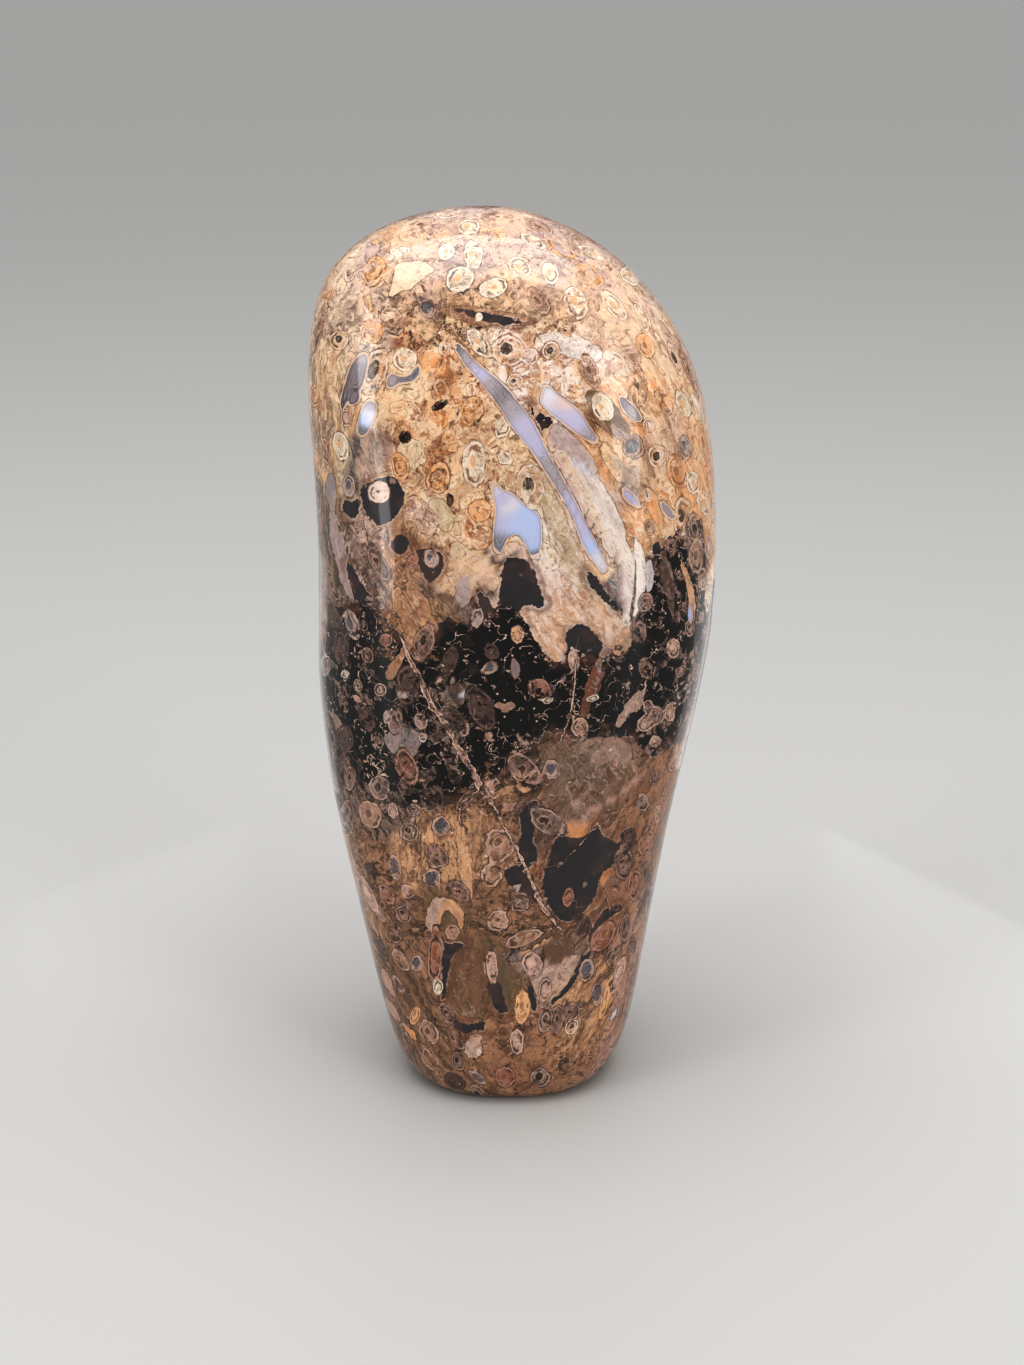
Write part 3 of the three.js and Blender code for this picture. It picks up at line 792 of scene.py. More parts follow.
# %% Bodies of pale and coloured stone
BODIES = {
    "crown patch": ("cream", 0.3, [(397, 264), (408, 262), (420, 261), (430, 266), (436, 270), (428, 275),
        (420, 281), (410, 289), (402, 291), (394, 296), (389, 296), (391, 285), (394, 274)]),
    "sliver under the crown": ("sienna", 0.5, [(440, 308), (470, 307), (500, 311), (540, 321), (505, 326),
        (476, 324), (452, 317)]),
    "shining crumb": ("bone", 0.8, [(540, 336), (560, 332), (582, 338), (600, 350), (598, 362), (580, 360),
        (556, 352)]),
    "khaki band": ("khaki", 0.9, [(530, 466), (541, 470), (552, 490), (562, 512), (573, 536), (585, 560),
        (598, 584), (612, 606), (600, 606), (584, 592), (566, 580), (553, 562), (550, 540), (545, 514),
        (536, 492)]),
    "khaki ellipse": ("khaki", 0.4, [(430, 500), (440, 498), (450, 508), (454, 522), (446, 532), (436, 524),
        (430, 512)]),
    "peach block": ("peach", 1.0, [(447, 556), (461, 548), (480, 551), (494, 560), (499, 578), (490, 594),
        (479, 588), (469, 601), (456, 590), (445, 575)]),
    "pale knot": ("cream", 1.0, [(398, 446), (408, 438), (420, 442), (428, 454), (424, 466), (412, 470),
        (402, 460)]),
    "khaki button": ("khaki", 0.3, [(452, 543), (460, 542), (466, 549), (464, 559), (456, 562), (450, 554)]),
    "tongue": ("tan", 1.0, [(519, 612), (527, 607), (541, 611), (549, 598), (558, 588), (570, 586),
        (584, 592), (598, 600), (610, 608), (620, 622), (632, 632), (633, 642), (627, 652), (617, 654),
        (608, 648), (598, 636), (588, 625), (575, 622), (566, 634), (566, 648), (561, 660), (552, 660),
        (544, 650), (533, 636), (525, 622)]),
    "curly body": ("bone", 0.5, [(566, 466), (576, 470), (590, 476), (600, 480), (612, 500), (621, 520),
        (627, 545), (630, 562), (620, 562), (610, 556), (602, 544), (596, 530), (588, 512), (578, 496),
        (570, 480)]),
    "its pink heart": ("bone", 0.4, [(588, 486), (598, 494), (610, 514), (618, 534), (622, 552), (612, 548),
        (602, 528), (592, 506)]),
    "mauve lens": ("heather", 0.2, [(550, 431), (554, 424), (562, 426), (574, 436), (586, 449), (595, 463),
        (599, 476), (590, 474), (578, 467), (568, 461), (558, 448)]),
    "pale foot of the mauve lens": ("mist", 0.2, [(566, 455), (574, 458), (584, 464), (592, 470), (594, 476),
        (584, 475), (574, 470), (568, 463)]),
    "amber round the cream root": ("amber", 0.4, [(585, 392), (598, 392), (612, 402), (622, 416), (630, 432),
        (622, 440), (608, 432), (598, 424), (590, 408)]),
    "amber strip": ("amber", 0.4, [(610, 446), (622, 462), (638, 480), (648, 494), (640, 496), (626, 484),
        (614, 466)]),
    "orange strip": ("honey", 0.4, [(641, 490), (650, 488), (660, 502), (664, 522), (660, 530), (652, 516),
        (644, 502)]),
    "orange tip": ("peach", 0.6, [(585, 552), (592, 562), (600, 562), (612, 568), (612, 576), (604, 584),
        (596, 576), (588, 564)]),
    "grey below the tip": ("slate", 0.5, [(590, 580), (600, 586), (612, 576), (619, 590), (620, 608),
        (612, 606), (602, 596)]),
    "resin bridge": ("sienna", 0.8, [(396, 592), (408, 588), (420, 592), (430, 604), (430, 622), (420, 640),
        (408, 652), (400, 666), (392, 680), (386, 674), (396, 656), (404, 640), (402, 622), (396, 610)]),
    "grey pane": ("heather", 0.2, [(458, 578), (466, 574), (471, 584), (470, 600), (464, 608), (457, 600)]),
    "amber pane": ("amber", 0.2, [(438, 596), (448, 594), (457, 604), (458, 614), (448, 614), (441, 606)]),
    "grey rough stone": ("mauve", 1.0, [(382, 742), (388, 732), (398, 727), (412, 730), (421, 738),
        (419, 750), (410, 760), (398, 760), (388, 750)]),
    "cream shard": ("blush", 0.9, [(640, 689), (645, 700), (636, 712), (629, 716), (619, 725), (618, 720),
        (623, 707), (632, 698)]),
    "rust patch in the glass": ("brown", 0.9, [(441, 692), (455, 684), (470, 682), (476, 688), (464, 700),
        (456, 710), (445, 708)]),
    "swirl of resin": ("amber", 0.9, [(536, 750), (552, 740), (575, 744), (600, 744), (624, 742), (646, 762),
        (650, 784), (632, 804), (604, 816), (580, 830), (560, 832), (548, 816), (540, 796), (545, 772)]),
    "pinkish top of it": ("fawn", 0.8, [(580, 744), (600, 738), (622, 740), (634, 750), (632, 762),
        (612, 764), (592, 758)]),
    "olive heart of it": ("olive", 0.5, [(546, 762), (560, 754), (580, 756), (590, 764), (586, 776),
        (570, 780), (552, 776)]),
    "shell in the pocket": ("brown", 0.1, [(554, 866), (558, 859), (568, 857), (578, 861), (580, 869),
        (574, 876), (562, 875)]),
    "gold edge of the pocket": ("honey", 0.5, [(558, 824), (572, 820), (590, 822), (592, 830), (580, 838),
        (564, 836)]),
    "second gold edge": ("honey", 0.4, [(602, 872), (612, 867), (620, 870), (616, 880), (606, 888),
        (600, 886)]),
    "amber pocket": ("amber", 0.5, [(452, 956), (466, 948), (482, 952), (488, 972), (492, 1000), (490, 1016),
        (472, 1018), (456, 1012), (446, 994), (448, 972)]),
    "pink mass": ("blush", 1.0, [(530, 975), (540, 968), (546, 960), (558, 962), (568, 956), (580, 956),
        (576, 968), (569, 980), (562, 992), (553, 999), (542, 1008), (536, 994)]),
    "amber disc": ("amber", 0.1, [(543, 948), (550, 938), (562, 934), (572, 940), (574, 952), (564, 961),
        (550, 963)]),
    "seed": ("amber", 0.2, [(505, 945), (513, 935), (526, 928), (538, 927), (534, 935), (524, 942),
        (512, 947)]),
    "white chip": ("mist", 0.2, [(511, 885), (519, 885), (523, 889), (514, 890)]),
    "chips below the crescent": ("blush", 0.8, [(465, 1042), (474, 1034), (484, 1036), (480, 1044),
        (482, 1052), (472, 1058), (464, 1052)]),
}
BODY_BLADES = {
    # The next four are partly white silica and partly a painted highlight, a reflection painted into their
    # colour.
    "white blade and painted highlight": ("bone", 0.1, [(606, 520, 0.3), (617, 540, 1.2), (625, 562, 1.3), (626, 582, 1.1),
        (626, 600, 0.9), (626, 615, 0.5), (628, 630, 0.1)]),
    "its grey side": ("heather", 0.2, [(612, 548, 0.1), (619, 566, 0.3), (621, 590, 0.35), (624, 615, 0.2)]),
    "second white blade and painted highlight": ("bone", 0.1, [(636, 540, 0.3), (640, 556, 0.7), (641, 576, 0.75), (640, 594, 0.7),
        (637, 608, 0.4), (632, 622, 0.1)]),
    "grey facets": ("mist", 0.3, [(649, 562, 0.3), (650, 572, 0.5), (650, 584, 0.5), (647, 594, 0.2)]),
    "left blade": ("heather", 0.6, [(331, 512, 0.4), (336, 535, 0.9), (342, 560, 1.0), (348, 585, 0.8),
        (353, 603, 0.1)]),
    "light edge of the left blade": ("blush", 0.6, [(334, 510, 0.1), (342, 530, 0.2), (350, 552, 0.2),
        (360, 578, 0.25), (374, 598, 0.1)]),
    "blade beside it": ("brown", 0.5, [(345, 525, 0.4), (356, 545, 0.9), (366, 566, 0.8), (378, 588, 0.2)]),
    # A mauve streak at the left edge: painted sheen, a reflection of the surroundings.
    "painted sheen on the left edge": ("mauve", 0.1, [(331, 477, 0.5), (331, 492, 0.85), (333, 508, 0.4)]),
    "cream rib": ("cream", 0.5, [(558, 446, 0.1), (572, 470, 0.5), (588, 500, 0.5), (600, 530, 0.4),
        (608, 552, 0.1)]),
    "cream bank": ("peach", 0.6, [(596, 440, 0.2), (606, 452, 0.9), (612, 466, 0.9), (620, 480, 0.3)]),
    "lilac patch": ("mist", 0.2, [(623, 488, 0.4), (628, 494, 0.9), (635, 500, 0.6), (640, 508, 0.3)]),
    "orange chip in the glass": ("fawn", 0.9, [(330, 711, 0.2), (337, 722, 0.6), (345, 735, 0.2)]),
    "rosy chip": ("rose", 0.3, [(351, 696, 0.3), (358, 699, 0.5), (366, 704, 0.2)]),
    "tan crescent in the glass": ("rose", 0.9, [(484, 700, 0.2), (496, 705, 0.5), (506, 708, 0.5),
        (516, 704, 0.1)]),
    "pale bar": ("mist", 0.2, [(464, 696, 0.4), (471, 692, 0.7), (478, 688, 0.3)]),
    "chips in a row": ("tan", 0.5, [(405, 781, 0.2), (414, 778, 0.4), (426, 783, 0.3)]),
    "arc of wall": ("rose", 0.5, [(474, 727, 0.2), (484, 730, 0.4), (492, 740, 0.6), (491, 752, 0.2)]),
    "rim of the curved pocket": ("blush", 0.3, [(645, 692, 0.1), (647, 680, 0.25), (653, 671, 0.3),
        (664, 667, 0.2)]),
    "brown streak at the right": ("brown", 0.3, [(663, 552, 0.3), (667, 575, 1.0), (671, 600, 0.6),
        (673, 618, 0.1)]),
    "tan streak at the right": ("tan", 0.4, [(678, 552, 0.1), (686, 575, 0.4), (692, 600, 0.5),
        (693, 622, 0.2)]),
    "column of crumb": ("tan", 0.8, [(460, 826, 0.6), (463, 850, 1.1), (467, 880, 1.0), (470, 905, 0.4)]),
    "arched root": ("tan", 0.5, [(434, 936, 0.5), (436, 915, 1.0), (446, 903, 0.9), (458, 912, 0.8),
        (462, 930, 0.3)]),
    "blue under the seed": ("slate", 0.3, [(506, 960, 0.3), (518, 956, 0.8), (530, 951, 0.4)]),
    "dark bank at the foot": ("umber", 0.5, [(640, 860, 0.2), (648, 880, 0.5), (645, 905, 0.3)]),
    "rosy left edge": ("rose", 0.5, [(382, 968, 0.2), (388, 983, 0.6), (394, 996, 0.2)]),
    "strip below it": ("rose", 0.4, [(386, 998, 0.2), (392, 1010, 0.6), (399, 1020, 0.2)]),
    "amber strip at the foot": ("honey", 0.5, [(404, 1024, 0.2), (411, 1034, 0.5), (418, 1042, 0.2)]),
    "wall of the seed": ("cream", 0.3, [(506, 946, 0.1), (516, 938, 0.2), (528, 932, 0.3), (539, 926, 0.1)]),
    "layer below the seed": ("tan", 0.3, [(508, 957, 0.2), (524, 953, 0.3), (540, 944, 0.3),
        (552, 934, 0.1)]),
    "stick at the right foot": ("honey", 0.3, [(615, 984, 0.2), (610, 996, 0.5), (604, 1010, 0.5),
        (598, 1021, 0.1)]),
    "bar in the pocket": ("rosewood", 0.3, [(584, 859, 0.3), (594, 858, 0.35), (603, 859, 0.3)]),
    "white streak at the foot": ("mist", 0.1, [(617, 1008, 0.1), (614, 1014, 0.3), (610, 1021, 0.1)]),
    "wall between sickle and lens": ("blush", 0.5, [(540, 424, 0.1), (552, 446, 0.5), (562, 466, 0.5),
        (574, 490, 0.4), (586, 516, 0.4), (596, 538, 0.2)]),
    "arch below the star": ("blush", 0.0, [(486, 536, 0.3), (493, 550, 0.6), (502, 555, 0.6), (510, 546, 0.6),
        (519, 547, 0.6), (527, 560, 0.6), (536, 576, 0.3)]),
    "left limb of the arched root": ("blush", 0.8, [(431, 934, 0.3), (431, 918, 0.9), (436, 904, 0.8),
        (443, 899, 0.3)]),
    "pillar below it": ("rose", 0.9, [(434, 938, 0.6), (436, 956, 1.0), (438, 976, 0.7), (441, 992, 0.1)]),
    "amber streak in the glass": ("rust", 0.9, [(600, 656, 0.3), (596, 676, 1.2), (589, 698, 0.9),
        (580, 722, 0.2)]),
    "flame in the glass": ("honey", 0.5, [(516, 778, 0.2), (522, 776, 0.6), (530, 778, 0.3)]),
    "tan flame below it": ("tan", 0.9, [(502, 792, 0.3), (514, 788, 0.6), (528, 790, 0.6), (538, 796, 0.2)]),
    "pink flame": ("rose", 0.9, [(500, 810, 0.3), (512, 808, 0.6), (522, 812, 0.2)]),
    "red streak in the resin": ("rust", 0.5, [(626, 806, 0.1), (636, 799, 0.6), (648, 790, 0.2)]),
    "pink line in the resin": ("rose", 0.4, [(566, 798, 0.2), (582, 806, 0.35), (596, 808, 0.35),
        (612, 799, 0.35), (630, 786, 0.35), (646, 770, 0.1)]),
    "chip above the root": ("tan", 0.4, [(360, 767, 0.1), (365, 761, 0.4), (370, 754, 0.1)]),
    "dark bank right of the pocket": ("rosewood", 0.6, [(604, 886, 0.3), (614, 880, 0.9), (626, 874, 0.3)]),
    "dark line of the arch": ("brown", 0.0, [(486, 552, 0.2), (497, 563, 0.4), (506, 561, 0.4),
        (512, 553, 0.4), (518, 555, 0.4), (525, 567, 0.4), (532, 580, 0.2)]),
}
BODIES_BEHIND = [
    ("khaki band", 186, 104, 1.1), ("tongue", 158, 82, 1.2), ("curly body", 132, 98, 1, 10),
    ("mauve lens", 110, 118, 1.2), ("cream shard", 196, 66, 1.2), ("grey rough stone", 226, 60, 1.2),
    ("swirl of resin", 116, 46, 0.8), ("pink mass", 206, 24, 1.2), ("amber pocket", 182, 32, 1.1),
    ("resin bridge", 242, 90, 0.9, 20), ("crown patch", 216, 134, 1.1), ("khaki ellipse", 236, 114, 1.2),
    ("seed", 90, 34, 1.2), ("orange strip", 146, 110, 1.5), ("amber disc", 140, 22, 1.2),
    ("grey pane", 258, 102, 1.3), ("khaki button", 120, 130, 1.2), ("tongue", 262, 74, 0.8, 10),
    ("pink mass", 86, 62, 0.9), ("rust patch in the glass", 112, 66, 1.2), ("orange tip", 204, 92, 1.3),
    ("chips below the crescent", 240, 12, 1.2), ("grey below the tip", 78, 100), ("khaki band", 96, 78, 0.6),
    ("shell in the pocket", 160, 60, 1.2), ("seed", 224, 46, 1.2),
]
BLADES_BEHIND = [
    # The two pale blades carried round keep their painted highlight.
    ("white blade and painted highlight", 128, 84, 1.2, 5), ("second white blade and painted highlight", 134, 83, 1.1, 5),
    ("wall between sickle and lens", 118, 104, 0.8, 5), ("pillar below it", 170, 44, 1.2),
    ("column of crumb", 198, 44), ("left limb of the arched root", 222, 30, 1.2),
    ("blade beside it", 248, 84, 1.1), ("cream rib", 216, 112, 0.8), ("pale bar", 146, 70, 1.2),
    ("stick at the right foot", 112, 22, 1.1), ("tan streak at the right", 82, 76, 1.1),
    ("layer below the seed", 90, 31, 1.2),
]

bodies = Layer(5)
for name, crumbly, points in BODIES.values():
    bodies.lay(front.outline(points), [*paint(name), crumbly])
for name, crumbly, points in BODY_BLADES.values():
    bodies.lay(front.blade(points), [*paint(name), crumbly])
for name, *there in BODIES_BEHIND:
    colour, crumbly, points = BODIES[name]
    bodies.lay(wrap.outline(carried(points, *there)), [*paint(colour), crumbly])
for name, *there in BLADES_BEHIND:
    colour, crumbly, points = BODY_BLADES[name]
    bodies.lay(wrap.blade(carried(points, *there)), [*paint(colour), crumbly])

# %% [markdown]
# The roots were cut across by the polishing, so each shows as a round or oval end: a pale wall with a dark
# outline, flesh, and often a darker heart. Those that can be picked out in the photograph are listed one by
# one, as the pixel of their middle, how wide and how long they look in pixels, and how far the top leans to
# the right in degrees. A round one has no length, and an upright one no lean.

# %% Roots on the front
ROOT_LOOKS = {
    # name: (flesh, heart, wall, reach of the heart)
    "cream": ("cream", "tan", "bone", 0.3),
    "white": ("blush", "black", "bone", 0.2),
    "ringed": ("tan", "umber", "bone", 0.4),
    "dark ringed": ("brown", "umber", "blush", 0.35),
    "slate": ("rosewood", "slate", "blush", 0.62),
    "orange": ("sienna", "amber", "blush", 0.3),
    "reddish": ("rust", "rust", "rose", 0.3),
    "grey": ("mauve", "slate", "blush", 0.4),
    "brown": ("brown", "umber", "rose", 0.3),
    "pink": ("rose", "blush", "blush", 0.3),
    "dark": ("umber", "brown", "rosewood", 0.35),
    "ink": ("black", "black", "umber", 0.3),
    "gold": ("honey", "sienna", "peach", 0.3),
}
CLEAREST = 0.95  # how much of a root end shows at the most, from 0 to 1
HEART_LEFT, HEART_UP = 0.1, 0.08  # how far a heart lies off the middle, in radii of its root
ROOTS_ON_FRONT = {
    "cream": [(447, 252, 18), (459, 279, 28), (493, 288, 18, 30, 75), (400, 251, 10, 22, 85), (405, 360, 26),
        (603, 408, 20, 30, -25), (630, 275, 16, 24, -40), (345, 674, 9), (479, 317, 9), (438, 987, 11, 18),
        (548, 700, 6, 12, 80), (593, 698, 8, 15, 70)],
    "white": [(379, 492, 23), (530, 356, 18), (402, 696, 5, 10, 80), (478, 1052, 8), (423, 739, 9, 10),
        (508, 730, 5, 7, 30), (517, 887, 5, 9, 80), (436, 882, 4, 5), (597, 751, 3, 6, 70),
        (611, 750, 5, 7, 20), (585, 815, 4, 7, 70)],
    "ringed": [(340, 340, 20), (508, 350, 32), (566, 331, 12), (374, 372, 26, 52, 20), (515, 382, 18),
        (551, 351, 20), (648, 495, 10, 16, -10), (572, 1027, 12, 17, 30)],
    "dark ringed": [(380, 690, 14, 15), (409, 832, 21), (414, 810, 15, 13), (379, 788, 21, 27, -20),
        (445, 712, 11), (520, 903, 20), (690, 628, 10, 18), (540, 1077, 22), (349, 830, 8, 14),
        (655, 715, 20)],
    "slate": [(441, 826, 21), (432, 878, 20), (417, 963, 13, 17), (633, 447, 22, 24), (489, 669, 12, 20, 75),
        (374, 386, 14), (587, 970, 16, 24, 10), (552, 769, 17, 22, -30)],
    "orange": [(500, 844, 34), (404, 916, 15, 13), (453, 932, 16), (498, 920, 24, 26), (492, 875, 24, 26, 10),
        (370, 814, 24, 32, -25), (525, 938, 14, 46, 70), (570, 716, 8), (616, 766, 10),
        (520, 777, 8, 18, 80)],
    "reddish": [(386, 640, 13), (435, 955, 16, 60, 3), (604, 936, 20, 36, 35), (505, 1077, 20),
        (568, 898, 12, 20, 10), (412, 560, 14, 18)],
    "grey": [(685, 447, 13, 26, -10), (431, 558, 16, 22, -20), (349, 486, 14, 24), (326, 665, 10, 22),
        (387, 717, 8, 16), (345, 818, 12, 28, -5), (620, 434, 9, 20, -50)],
    "brown": [(348, 812, 12, 26), (350, 778, 12, 26), (403, 913, 18), (625, 927, 10, 34, 5),
        (557, 1020, 12, 30, 5), (424, 642, 20, 44, 15), (466, 800, 12, 30, 40), (633, 943, 8, 20),
        (397, 937, 12)],
    "pink": [(574, 661, 12, 23, -5), (673, 648, 14, 22), (681, 671, 7, 15, 30), (670, 713, 10, 19, -10),
        (645, 724, 16), (655, 742, 14, 13), (393, 811, 11, 17, -15), (618, 975, 10, 40, 20),
        (492, 967, 12, 36, -5), (545, 990, 12, 26, 10), (648, 705, 12, 11), (465, 731, 8, 9)],
    "dark": [(345, 738, 18, 26), (630, 838, 14, 20), (450, 660, 16, 30, 20)],
    "ink": [(405, 437, 13), (440, 405, 9, 20, 60), (450, 500, 8, 14), (453, 422, 6), (478, 421, 6, 10, 80),
        (446, 488, 6, 8)],
    "gold": [(372, 333, 22), (438, 478, 26, 34, 10), (480, 510, 24), (315, 395, 10, 24),
        (522, 1007, 16, 34, 5), (606, 998, 8, 44, 15), (415, 1015, 10, 20, 20)],
}


class Roots(Layer):
    """Root ends over the skin: how far out each point lies, as a share of its root's radius, and its look."""

    def __init__(self):
        super().__init__(10)
        self.from_heart = np.full(len(places), FAR)

    def lay_end(self, index, across, along, look, shown):
        """Adds a root end from how far the points lie across and along it, as shares of its radii."""
        *names, heart_reach = ROOT_LOOKS[look]
        flesh, heart, wall = (paint(name)[:3] for name in names)
        reach = np.hypot(across, along)
        nearer = index[reach < self.outside[index]]
        self.lay((reach, index), [*flesh, *heart, *wall, shown], over=False)
        from_heart = np.hypot(across + HEART_LEFT, along - HEART_UP) / heart_reach
        self.from_heart[nearer] = from_heart[np.isin(index, nearer)]


roots = Roots()


def lay_on_front(look, x, y, width, length=None, lean=0):
    """Adds a root end that the photograph shows. Without a length it is round."""
    middle, lean = np.array([[x, y]], float), math.radians(lean)
    index = front.near(middle)
    away = front.where[index] - middle
    across = away @ [math.cos(lean), math.sin(lean)] / (width / 2)
    along = away @ [math.sin(lean), -math.cos(lean)] / ((length or width) / 2)
    roots.lay_end(index, across, along, look, CLEAREST)


for look, ends in ROOTS_ON_FRONT.items():
    for end in ends:
        lay_on_front(look, *end)
print(sum(len(ends) for ends in ROOTS_ON_FRONT.values()), "roots on the front")

# %% [markdown]
# The mat holds hundreds more. Geometry Nodes strew them over the whole skin with an even spacing, and give
# each a size, a stretch and a lean from a fixed seed. Those that would fall on a root, an agate window, a
# pocket or a body that is already there are left out, and the others lie under the roots placed before
# them. Pale ground holds pale roots, and dark ground holds brown ones.

# %% Roots strewn over the whole stone
ROOT_SPACING = 4.4 * MM
ROOTS_PER_SQUARE_METRE = 4e5  # more than the spacing leaves room for, so that the spacing decides
ROOT_SEED = 7
LOWEST_ROOT = 1 * MM
ROOT_REACH = 2.2  # radii, past which a root end has no say
COVERS = 1.15  # radii of an earlier root, within which it covers a strewn one

# How far the middle of a strewn root keeps from an earlier one, in radii, and from other marks, in mm
OFF_ROOTS, OFF_AGATE, OFF_BODIES, OFF_GLASS = 2.0, 1.0, 0.2, 0.8

# How much of a strewn root shows at the most in the dark band and out of it, and how much more behind
SHOWN_IN_BAND, SHOWN_ELSEWHERE, MORE_BEHIND = 0.7, 0.85, 0.3

LOOKS_BY_TONE = [
    # up to this lightness of the ground, looks to draw from
    (0.07, ["brown", "dark ringed", "reddish", "dark", "grey", "dark"]),
    (0.3, ["orange", "brown", "reddish", "dark ringed", "slate", "brown", "pink", "dark"]),
    (1.0, ["cream", "gold", "ringed", "cream", "gold", "pink", "cream", "orange"]),
]


def root_tree():
    """Strews points over a skin and stores on each its outward direction, size, stretch, lean and look."""
    bench, given, values = new_tree("strewn roots", [
        ("Spacing", "NodeSocketFloat", ROOT_SPACING),
        ("Seed", "NodeSocketInt", ROOT_SEED),
    ])
    strewn = bench.node("GeometryNodeDistributePointsOnFaces", {"distribute_method": "POISSON"}, {
        "Mesh": given, "Distance Min": given.output("Spacing"), "Density Max": ROOTS_PER_SQUARE_METRE,
        "Seed": given.output("Seed")})
    kept = bench.node("GeometryNodeStoreNamedAttribute", {"data_type": "FLOAT_VECTOR"}, {
        "Geometry": strewn, "Name": "outwards", "Value": strewn.output("Normal")})
    ranges = {"size": (0.9 * MM, 2.2 * MM), "stretch": (1.0, 2.2), "lean": (-50.0, 10.0), "look": (0.0, 1.0),
              "shown": (0.25, 1.0)}
    for number, (name, (low, high)) in enumerate(ranges.items()):
        drawn = bench.node("FunctionNodeRandomValue", sockets={
            "Min_001": low, "Max_001": high, "Seed": given.output("Seed") + number}, output=1)
        kept = bench.node("GeometryNodeStoreNamedAttribute", sockets={
            "Geometry": kept, "Name": name, "Value": drawn})
    return bench, bench.node("GeometryNodePointsToVertices", sockets={"Points": kept}), values


def lay_strewn_roots():
    """Adds the strewn roots where nothing else is in the way. Returns how many there are."""
    bench, result, values = root_tree()
    mesh = apply_tree(stone, bench, result, polished_stone, values)
    centres = values_of(mesh.vertices, "co", 3)
    outwards = values_of(mesh.attributes["outwards"].data, "vector", 3)
    names = ("size", "stretch", "lean", "look", "shown")
    drawn = [values_of(mesh.attributes[name].data, "value", 1)[:, 0] for name in names]
    bpy.data.meshes.remove(mesh)
    taken = (roots.outside < OFF_ROOTS) | (agate.outside < OFF_AGATE)
    taken |= (bodies.outside < OFF_BODIES) | (glass.outside < OFF_GLASS)
    most = np.where(in_band < 0, SHOWN_IN_BAND, SHOWN_ELSEWHERE) + np.where(facing < 0, MORE_BEHIND, 0.0)
    laid = 0
    for centre, normal, size, longer, lean, choice, shown in zip(centres, outwards, *drawn):
        tilt = math.radians(lean)
        away = places - centre
        reach = np.linalg.norm(away, axis=1)
        here = np.argmin(reach)
        if taken[here] or centre[2] < LOWEST_ROOT:
            continue
        sideways = np.cross([0, 0, 1], normal)
        sideways /= np.linalg.norm(sideways)
        upwards = np.cross(normal, sideways)
        index = np.nonzero((reach < ROOT_REACH * size * longer) & (roots.outside > COVERS))[0]
        local = away[index] / size
        across = local @ (sideways * math.cos(tilt) - upwards * math.sin(tilt))
        along = local @ (sideways * math.sin(tilt) + upwards * math.cos(tilt)) / longer
        looks = next(names for tone, names in LOOKS_BY_TONE if ground[here, :3].mean() < tone)
        clear = min(shown * most[here], CLEAREST)
        roots.lay_end(index, across, along, looks[int(choice * len(looks)) % len(looks)], clear)
        laid += 1
    return laid


print(lay_strewn_roots(), "strewn roots")

# %% [markdown]
# A healed crack runs down from the left of the dark band. Its filling is pale, thin and broken. Fainter
# ones cross the black pocket and the back.

# %% Healed cracks
CRACKS_ON_FRONT = {
    "long crack": [(402, 640, 0.12), (409, 658, 0.3), (421, 680, 0.45), (430, 704, 0.5), (444, 722, 0.5),
        (455, 742, 0.55), (468, 764, 0.6), (477, 780, 0.55), (488, 797, 0.4), (497, 812, 0.2),
        (506, 830, 0.15), (519, 853, 0.25), (530, 878, 0.3), (541, 904, 0.3), (558, 928, 0.2)],
    "branch to the left": [(482, 788, 0.15), (470, 796, 0.15), (459, 807, 0.1), (461, 824, 0.05)],
    "line across the pocket": [(594, 828, 0.06), (583, 842, 0.08), (570, 855, 0.1)],
    "thread in the glass": [(576, 660, 0.05), (574, 690, 0.08), (570, 715, 0.08), (560, 742, 0.05)],
}
CRACKS_BEHIND = [
    [(40, 96, 0.2), (50, 82, 0.25), (58, 70, 0.25), (70, 52, 0.3), (76, 40, 0.15)],
    [(112, 60, 0.15), (120, 74, 0.2), (124, 92, 0.15)],
]


class Cracks:
    """Thin lines over the skin: how far each point lies to one side of the nearest line or the other, with a
    sign, so that a line stays thin where it runs between the points of the skin."""

    def __init__(self):
        self.side = np.full(len(places), FAR)
        self.width = np.zeros(len(places))

    def lay(self, thread):
        side, width, index = thread
        nearer = np.abs(side) < np.abs(self.side[index])
        self.side[index[nearer]] = side[nearer]
        self.width[index[nearer]] = width[nearer]


cracks = Cracks()
for points in CRACKS_ON_FRONT.values():
    cracks.lay(front.thread(points))
for points in CRACKS_BEHIND:
    cracks.lay(wrap.thread(points))
print(len(CRACKS_ON_FRONT) + len(CRACKS_BEHIND), "cracks")

# %% [markdown]
# What was worked out is stored on the skin as attributes, which the nodes read by name.

# %% Store the marks


def store(name, rows):
    """Keeps one number or colour for each point of the skin."""
    rows = np.asarray(rows, np.float32)
    if rows.ndim == 1:
        stone.data.attributes.new(name, "FLOAT", "POINT").data.foreach_set("value", rows)
        return
    if rows.shape[1] == 3:
        rows = np.column_stack([rows, np.ones(len(rows), np.float32)])
    stone.data.attributes.new(name, "FLOAT_COLOR", "POINT").data.foreach_set("color", rows.ravel())


MARKS = {
    "ground": ground[:, :3], "gaps": ground[:, 4:7], "chips": ground[:, 8:11], "crumbly": ground[:, 12],
    "upright": ground[:, 13], "leans left": ground[:, 14], "leans right": ground[:, 15],
    "glass": glass.outside, "band": in_band, "agate": agate.outside, "agate colour": agate.nature[:, :3],
    "body": bodies.outside, "body colour": bodies.nature[:, :3], "body crumb": bodies.nature[:, 4],
    "root": roots.outside, "root flesh": roots.nature[:, :3], "root heart": roots.nature[:, 3:6],
    "root centre": roots.from_heart, "root wall": roots.nature[:, 6:9], "root shown": roots.nature[:, 9],
    "crack": cracks.side, "crack width": cracks.width,
}
for name, rows in MARKS.items():
    store(name, rows)
print(len(MARKS), "attributes stored")

# %% [markdown]
# The material is put together from the bottom up: the ground, then the bodies, the black glass, the root
# ends, a fine grit, the agate and the cracks, each laid over what is below it. All of it is worked out from
# the place in the stone, in millimetres, so the pattern goes through the stone and has no seam.

